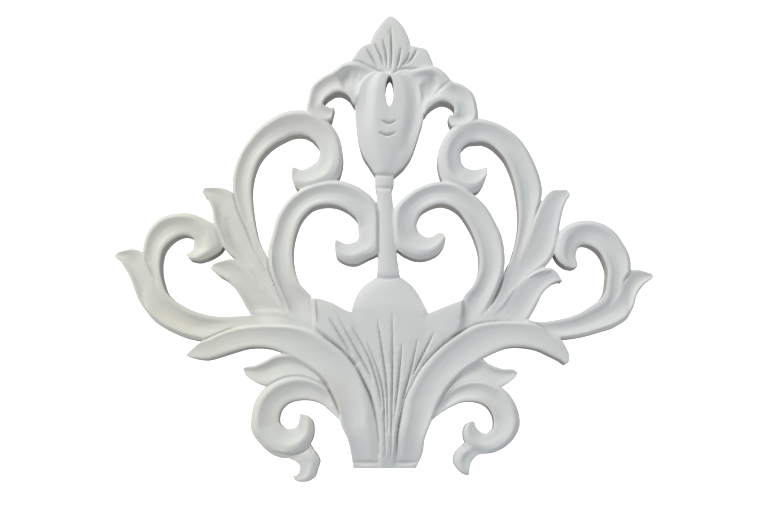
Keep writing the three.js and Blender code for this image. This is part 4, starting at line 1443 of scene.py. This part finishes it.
def walk_cells(node: np.ndarray, crossing: list[np.ndarray]) -> tuple[np.ndarray, np.ndarray]:
    """Walks round every grid cell to find the face's triangles and its rim.

    Args:
        node: The point number of each node, or -1 outside.
        crossing: The point numbers on upright and on level grid lines.

    Returns:
        Three point numbers for each triangle, and two for each stretch of the rim.
    """
    upright, level = crossing
    near, far = slice(0, -1), slice(1, None)
    corner = [node[near, near], node[near, far], node[far, far], node[far, near]]
    middle = [level[near, :], upright[:, far], level[far, :], upright[:, near]]
    code = sum((corner[k] >= 0).astype(int) << k for k in range(4))
    triangles, rims = [], []
    for kind in range(1, 16):
        where = code == kind
        if not where.any():
            continue
        walk = []
        for k in range(4):
            if kind >> k & 1:
                walk.append((corner[k][where], False))
            if (kind >> k & 1) != (kind >> (k + 1) % 4 & 1):
                walk.append((middle[k][where], True))
        for k in range(1, len(walk) - 1):
            triangles.append(np.stack([walk[0][0], walk[k][0], walk[k + 1][0]], 1))
        for k in range(len(walk)):
            after = walk[(k + 1) % len(walk)]
            if walk[k][1] and after[1]:
                rims.append(np.stack([walk[k][0], after[0]], 1))
    return np.vstack(triangles), np.vstack(rims)


def plain_mesh(name: str, points: np.ndarray, faces: np.ndarray) -> bpy.types.Mesh:
    """A mesh of triangles.

    Args:
        name: Its name.
        points: The points, one row each, in metres.
        faces: Three point numbers for each triangle.

    Returns:
        The mesh.
    """
    mesh = bpy.data.meshes.new(name)
    mesh.vertices.add(len(points))
    mesh.vertices.foreach_set("co", points.astype(np.float32).ravel())
    mesh.loops.add(faces.size)
    mesh.loops.foreach_set("vertex_index", faces.astype(np.int32).ravel())
    mesh.polygons.add(len(faces))
    mesh.polygons.foreach_set("loop_start", np.arange(0, faces.size, 3, dtype=np.int32))
    mesh.update(calc_edges=True)
    mesh.validate()
    return mesh


@dataclass
class Casting:
    """The whole ornament as one closed cast piece.

    Attributes:
        low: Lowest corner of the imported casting, in metres.
        high: Its highest corner.
        most_faces: The most triangles that the piece may have.
        crease: Angle past which an edge is sharp.
        headroom: How far the carving stays behind the casting's highest point, in millimetres.
        seed: Seed of the hand's slight unevenness.
        wave: Distance between the unevenness's swells, in millimetres.
        swell: Height of its swells.
        surround: How many times the surface is evened out to tell what lies sunken.
    """

    low: Vector
    high: Vector
    most_faces: int = 188_000
    crease: float = math.radians(50)
    headroom: float = 0.03
    seed: int = 7
    wave: float = 6.5
    swell: float = 0.07
    surround: int = 24

    @property
    def scale(self) -> float:
        """Casting millimetres in a drawn one."""
        return (self.high.x - self.low.x) / (UNITS_ACROSS * MM)

    def relief(self) -> Relief:
        """Carves every band.

        Returns:
            The carved relief.
        """
        low = np.array([self.low.x, self.low.z]) / MM / self.scale
        high = np.array([self.high.x, self.high.z]) / MM / self.scale
        relief = Relief(low=low, high=high, limit=-self.low.y / MM - self.headroom)
        for band in BANDS:
            relief.add(band)
        relief.close_gaps()
        relief.cut(*Eye().outline())
        relief.finish(seed=self.seed, wave=self.wave, swell=self.swell)
        return relief

    def mesh(self, relief: Relief) -> bpy.types.Mesh:
        """The closed mesh of a relief: its face, its walls and its flat back.

        Args:
            relief: The relief.

        Returns:
            The mesh, in metres.
        """
        places, tops, node, crossing = face_points(relief)
        face, rim = walk_cells(node, crossing)
        x, z = (places * self.scale).T
        total = len(x)
        points = np.vstack([np.stack([x, -tops, z], 1), np.stack([x, np.zeros(total), z], 1)]) * MM
        inset = np.array([HAIR, 0, HAIR])
        points = np.clip(points, np.array(self.low) + inset, np.array(self.high) - inset)
        a, b = rim.T
        walls = np.vstack([np.stack([a, a + total, b + total], 1), np.stack([a, b + total, b], 1)])
        return plain_mesh(NODE, points, np.vstack([face, face[:, ::-1] + total, walls]))

    def build(self, finish: bpy.types.Material) -> bpy.types.Object:
        """Builds the casting and dresses it.

        Args:
            finish: Its material.

        Returns:
            The finished piece.
        """
        relief = self.relief()
        piece = bpy.data.objects.new("carved_applique", self.mesh(relief))
        bpy.context.scene.collection.objects.link(piece)
        log.info("%s: %d faces before thinning", piece.name, len(piece.data.polygons))
        for cutter in CUTTERS:
            cutter.cut(piece, self.scale, finish)
            log.info("%s: %d cut", cutter.name, len(cutter.lines))
        thin = piece.modifiers.new("thin", "DECIMATE")
        thin.ratio = self.most_faces / len(piece.data.polygons)
        bake_modifiers(piece)
        self.mark(piece.data, relief)
        piece.data.polygons.foreach_set("use_smooth", np.ones(len(piece.data.polygons), bool))
        piece.data.set_sharp_from_angle(angle=self.crease)
        return piece

    def mark(self, mesh: bpy.types.Mesh, relief: Relief) -> None:
        """Stores how sunken each point lies, for the shade that the finish paints into hollows.

        Args:
            mesh: The piece's mesh.
            relief: The relief that it came from.
        """
        co = np.zeros(3 * len(mesh.vertices), np.float32)
        mesh.vertices.foreach_get("co", co)
        co = co.reshape(-1, 3) / MM
        weight = relief.inside.astype(float)
        field = relief.crown * weight
        for _ in range(self.surround):
            field = blur(field)
            weight = blur(weight)
        around = field / np.maximum(weight, SLIGHT)
        across = (co[:, 0] / self.scale - relief.origin[0]) / relief.pitch
        up = (co[:, 2] / self.scale - relief.origin[1]) / relief.pitch
        sunken = bilinear(around, across, up) + co[:, 1]
        stored = mesh.attributes.new("sunken", "FLOAT", "POINT")
        stored.data.foreach_set("value", sunken.astype(np.float32))


@dataclass(frozen=True)
class Onset:
    """How a tint sets in as a value rises.

    Attributes:
        start: The value at which it starts.
        rate: How fast it grows from there.
        most: Its share at its strongest.
    """

    start: float
    rate: float
    most: float = 1.0

    def share(self, value: NodeMaths) -> NodeMaths:
        """The tint's share at a value."""
        return ((value - self.start) * self.rate).clamp() * self.most


@dataclass(frozen=True)
class CastPolyester:
    """Off-white cast polyester with the matt skin that comes out of a rubber mould, with painted warm light
    towards its left end and painted shade in its hollows and pores.

    Attributes:
        pale: The plain colour.
        warm_lit: The colour towards its left end, a painted warm light as if a warm lamp lit that side.
        warm: The colour of its yellower patches.
        cool: The colour of its greyer patches.
        shade_colour: The colour of the shade painted into cuts, hollows and pores.
        roughness: The plain roughness.
        sheen: The strength of its reflections.
        patch_noise: Scale and detail of the greyer patches.
        stain_noise: Scale and detail of the yellower patches.
        grain_noise: Scale and detail of the skin's grains.
        ripple_noise: Scale and detail of its ripples.
        patching: How the greyer patches set in.
        staining: How the yellower patches set in.
        recess_shading: How the painted shade sets in where the surface lies sunken.
        shading_least: How much of the painted shade lies where the skin has no ripple.
        shading_ripple: How much more of it lies on a ripple.
        graining: How strongly the grains tint the colour.
        warm_light_from: How far left of the middle the painted warm light starts, in metres.
        warm_light_rate: How fast it grows from there.
        pore_scale: How close the pores lie.
        pore_size: Their size, as a share of the distance between them.
        pore_edge: How sharp their edges are.
        pore_shade: How strongly painted shade darkens them.
        pore_depth: Their depth beside the ripples' height.
        grain_height: The grains' height beside the ripples'.
        ripple_roughness: How much a ripple changes the roughness.
        recess_roughness: How much the sunken places add to it.
        skin: Height of the ripples, in metres.
        skin_strength: How strongly the skin's relief shows.
    """

    pale: tuple[float, float, float, float] = (0.78, 0.80, 0.79, 1)
    warm_lit: tuple[float, float, float, float] = (0.81, 0.805, 0.71, 1)
    warm: tuple[float, float, float, float] = (0.80, 0.785, 0.70, 1)
    cool: tuple[float, float, float, float] = (0.755, 0.765, 0.785, 1)
    shade_colour: tuple[float, float, float, float] = (0.50, 0.485, 0.455, 1)
    roughness: float = 0.58
    sheen: float = 0.35
    patch_noise: tuple[float, float] = (26.0, 3.0)
    stain_noise: tuple[float, float] = (61.0, 4.0)
    grain_noise: tuple[float, float] = (1500.0, 2.0)
    ripple_noise: tuple[float, float] = (330.0, 3.0)
    patching: Onset = Onset(0.45, 3.0, 0.6)
    staining: Onset = Onset(0.56, 4.5, 0.55)
    recess_shading: Onset = Onset(0.35, 0.55)
    shading_least: float = 0.75
    shading_ripple: float = 0.5
    graining: float = 0.10
    warm_light_from: float = 0.012
    warm_light_rate: float = 16.0
    pore_scale: float = 260.0
    pore_size: float = 0.11
    pore_edge: float = 12.0
    pore_shade: float = 0.25
    pore_depth: float = 0.9
    grain_height: float = 0.35
    ripple_roughness: float = 0.12
    recess_roughness: float = 0.10
    skin: float = 0.00012
    skin_strength: float = 0.35

    def material(self) -> bpy.types.Material:
        """Builds the finish.

        Returns:
            The material.
        """
        made = bpy.data.materials.new("cast_polyester")
        made.use_nodes = True
        tree = made.node_tree
        tree.nodes.clear()
        place = add_node(tree, "ShaderNodeTexCoord", output="Object")
        patches, stains, grain, ripple = (
            add_node(tree, "ShaderNodeTexNoise", {}, {"Vector": place, "Scale": scale, "Detail": detail})
            for scale, detail in (self.patch_noise, self.stain_noise, self.grain_noise, self.ripple_noise)
        )
        middle = 0.5
        spots = {"Vector": place, "Scale": self.pore_scale, "Randomness": 1.0}
        pore = ((self.pore_size - add_node(tree, "ShaderNodeTexVoronoi", {}, spots)) * self.pore_edge).clamp()
        stored = {"attribute_name": "sunken", "attribute_type": "GEOMETRY"}
        sunken = add_node(tree, "ShaderNodeAttribute", stored, output="Fac")
        # Painted shade: sunken places are darkened towards the shade colour, more on a ripple
        recess_shade = self.recess_shading.share(sunken) * (self.shading_least + self.shading_ripple * ripple)
        leftward = add_node(tree, "ShaderNodeSeparateXYZ", {}, {0: place}) * -1
        # Painted warm light: the colour turns warmer towards the left end, as if a warm lamp lit that side
        warm_light_share = ((leftward - self.warm_light_from) * self.warm_light_rate + patches - middle).clamp()
        layers = (
            (self.patching.share(patches), self.cool),
            (self.staining.share(stains), self.warm),
            ((grain * self.graining).clamp(), self.cool),
            # painted shade in sunken places
            (recess_shade.clamp(), self.shade_colour),
            # painted shade in the pores
            (pore * self.pore_shade, self.shade_colour),
        )
        # The plain colour, with the painted warm light towards the left end
        colour = mix_colour(tree, warm_light_share, self.pale, self.warm_lit)
        for share, tint in layers:
            colour = mix_colour(tree, share, colour, tint)
        rough = self.roughness + self.ripple_roughness * (ripple - middle) + self.recess_roughness * recess_shade
        height = grain * self.grain_height + ripple - pore * self.pore_depth
        skin = {"Strength": self.skin_strength, "Distance": self.skin, "Height": height}
        bump = add_node(tree, "ShaderNodeBump", {}, skin)
        looks = {
            "Base Color": colour,
            "Roughness": rough,
            "Normal": bump,
            "Specular IOR Level": self.sheen,
        }
        shader = add_node(tree, "ShaderNodeBsdfPrincipled", {}, looks)
        add_node(tree, "ShaderNodeOutputMaterial", {}, {"Surface": shader})
        return made


@dataclass(frozen=True)
class WhitePaper:
    """The bright matt paper of the floor and the backdrop.

    Attributes:
        colour: Its colour.
        roughness: Its roughness.
        glow: How strongly it shines by itself, so that it stays white behind the casting.
    """

    colour: tuple[float, float, float, float] = (0.9, 0.9, 0.9, 1)
    roughness: float = 0.9
    glow: float = 0.9

    def material(self) -> bpy.types.Material:
        """Builds the finish.

        Returns:
            The material.
        """
        made = bpy.data.materials.new("white_paper")
        made.use_nodes = True
        shader = made.node_tree.nodes["Principled BSDF"]
        shader.inputs["Base Color"].default_value = self.colour
        shader.inputs["Roughness"].default_value = self.roughness
        shader.inputs["Emission Color"].default_value = (1, 1, 1, 1)
        shader.inputs["Emission Strength"].default_value = self.glow
        return made


@dataclass(frozen=True)
class SoftLight:
    """One square soft light that faces the casting.

    Attributes:
        name: Its name.
        place: Where it hangs, in metres.
        size: The side of its square, in metres.
        power: Its power in watts.
        colour: Its colour.
    """

    name: str
    place: tuple[float, float, float]
    size: float
    power: float
    colour: tuple[float, float, float]

    def hang(self) -> None:
        """Adds the light to the scene."""
        data = bpy.data.lights.new(self.name, "AREA")
        data.shape = "SQUARE"
        data.size = self.size
        data.energy = self.power
        data.color = self.colour
        lamp = bpy.data.objects.new(self.name, data)
        bpy.context.scene.collection.objects.link(lamp)
        lamp.location = self.place
        lamp.rotation_mode = "QUATERNION"
        lamp.rotation_quaternion = (-Vector(self.place)).to_track_quat("-Z", "Y")


@dataclass
class Studio:
    """The white table-top, the soft lights and the camera.

    Attributes:
        scale: Casting millimetres in a drawn one.
        ground: Height of the floor, in metres.
        eye: Where the camera stands, in drawn millimetres.
        target: Where it looks.
        focal_pixels: Its focal length in picture pixels.
        picture_width: The picture's width in pixels.
        lights: The soft lights.
        air: The colour of the light from all round.
        air_strength: Its strength.
    """

    scale: float
    ground: float
    eye: tuple[float, float, float] = (-1.5, -529.0, -76.0)
    target: tuple[float, float, float] = (-1.85, -9.0, -2.59)
    focal_pixels: float = 1418.0
    picture_width: float = 768.0
    lights: tuple[SoftLight, ...] = (
        SoftLight("key", (-0.9, -0.75, 1.02), 0.55, 13.9, (1.0, 0.99, 0.92)),
        SoftLight("fill", (1.1, -1.1, -0.4), 0.9, 5.0, (0.86, 0.88, 1.0)),
        SoftLight("rear", (0.4, 1.0, 1.2), 0.8, 4.0, (1.0, 1.0, 1.0)),
    )
    air: tuple[float, float, float, float] = (0.95, 0.965, 1.0, 1)
    air_strength: float = 0.49

    def camera(self) -> None:
        """Stands the camera where the photograph was taken from."""
        data = bpy.data.cameras.new("camera")
        data.sensor_width = 36.0
        data.lens = data.sensor_width * self.focal_pixels / self.picture_width
        data.clip_start = 0.01
        data.clip_end = 20
        camera = bpy.data.objects.new("camera", data)
        bpy.context.scene.collection.objects.link(camera)
        place = Vector(self.eye) * self.scale * MM
        aim = Vector(self.target) * self.scale * MM
        camera.location = place
        camera.rotation_mode = "QUATERNION"
        camera.rotation_quaternion = (aim - place).to_track_quat("-Z", "Y")
        bpy.context.scene.camera = camera

    def backdrop(self) -> None:
        """Lays a pale floor that sweeps up into a pale backdrop."""
        front, back, top, side = -2.5, 0.5, 2.2, 3.0
        bend = 0.3
        floor = self.ground
        rows = [(front, floor), (back, floor)]
        for turn in np.linspace(0.1, 1.57, 14):
            rows.append((back + bend * math.sin(turn), floor + bend - bend * math.cos(turn)))
        rows.append((back + bend, top))
        points = [(x, y, z) for y, z in rows for x in (-side, side)]
        faces = [(2 * k, 2 * k + 1, 2 * k + 3, 2 * k + 2) for k in range(len(rows) - 1)]
        mesh = bpy.data.meshes.new("backdrop")
        mesh.from_pydata(points, [], faces)
        mesh.materials.append(WhitePaper().material())
        mesh.polygons.foreach_set("use_smooth", [True] * len(faces))
        backdrop = bpy.data.objects.new("backdrop", mesh)
        bpy.context.scene.collection.objects.link(backdrop)
        backdrop.visible_diffuse = False
        backdrop.visible_glossy = False

    def build(self) -> None:
        """Sets up the backdrop, the lights and the light from all round."""
        self.backdrop()
        for light in self.lights:
            light.hang()
        world = bpy.data.worlds.new("air")
        world.use_nodes = True
        source = world.node_tree.nodes["Background"]
        source.inputs["Color"].default_value = self.air
        source.inputs["Strength"].default_value = self.air_strength
        scene = bpy.context.scene
        scene.world = world
        scene.view_settings.view_transform = "Standard"
        scene.view_settings.look = "None"


def main() -> None:
    """Builds the scene in order and reports each piece."""
    logging.basicConfig(level=logging.INFO, format="%(name)s: %(message)s")
    low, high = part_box(NODE)
    casting = Casting(low, high)
    studio = Studio(casting.scale, ground=low.z - FLOOR_GAP)
    studio.camera()
    log.info("camera: placed at the photograph's viewpoint")
    piece = casting.build(CastPolyester().material())
    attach(piece, BODY)
    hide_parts(NODE)
    log.info("%s: %d faces", piece.name, len(piece.data.polygons))
    studio.build()
    log.info("studio: backdrop and lights")


if __name__ == "__main__":
    main()
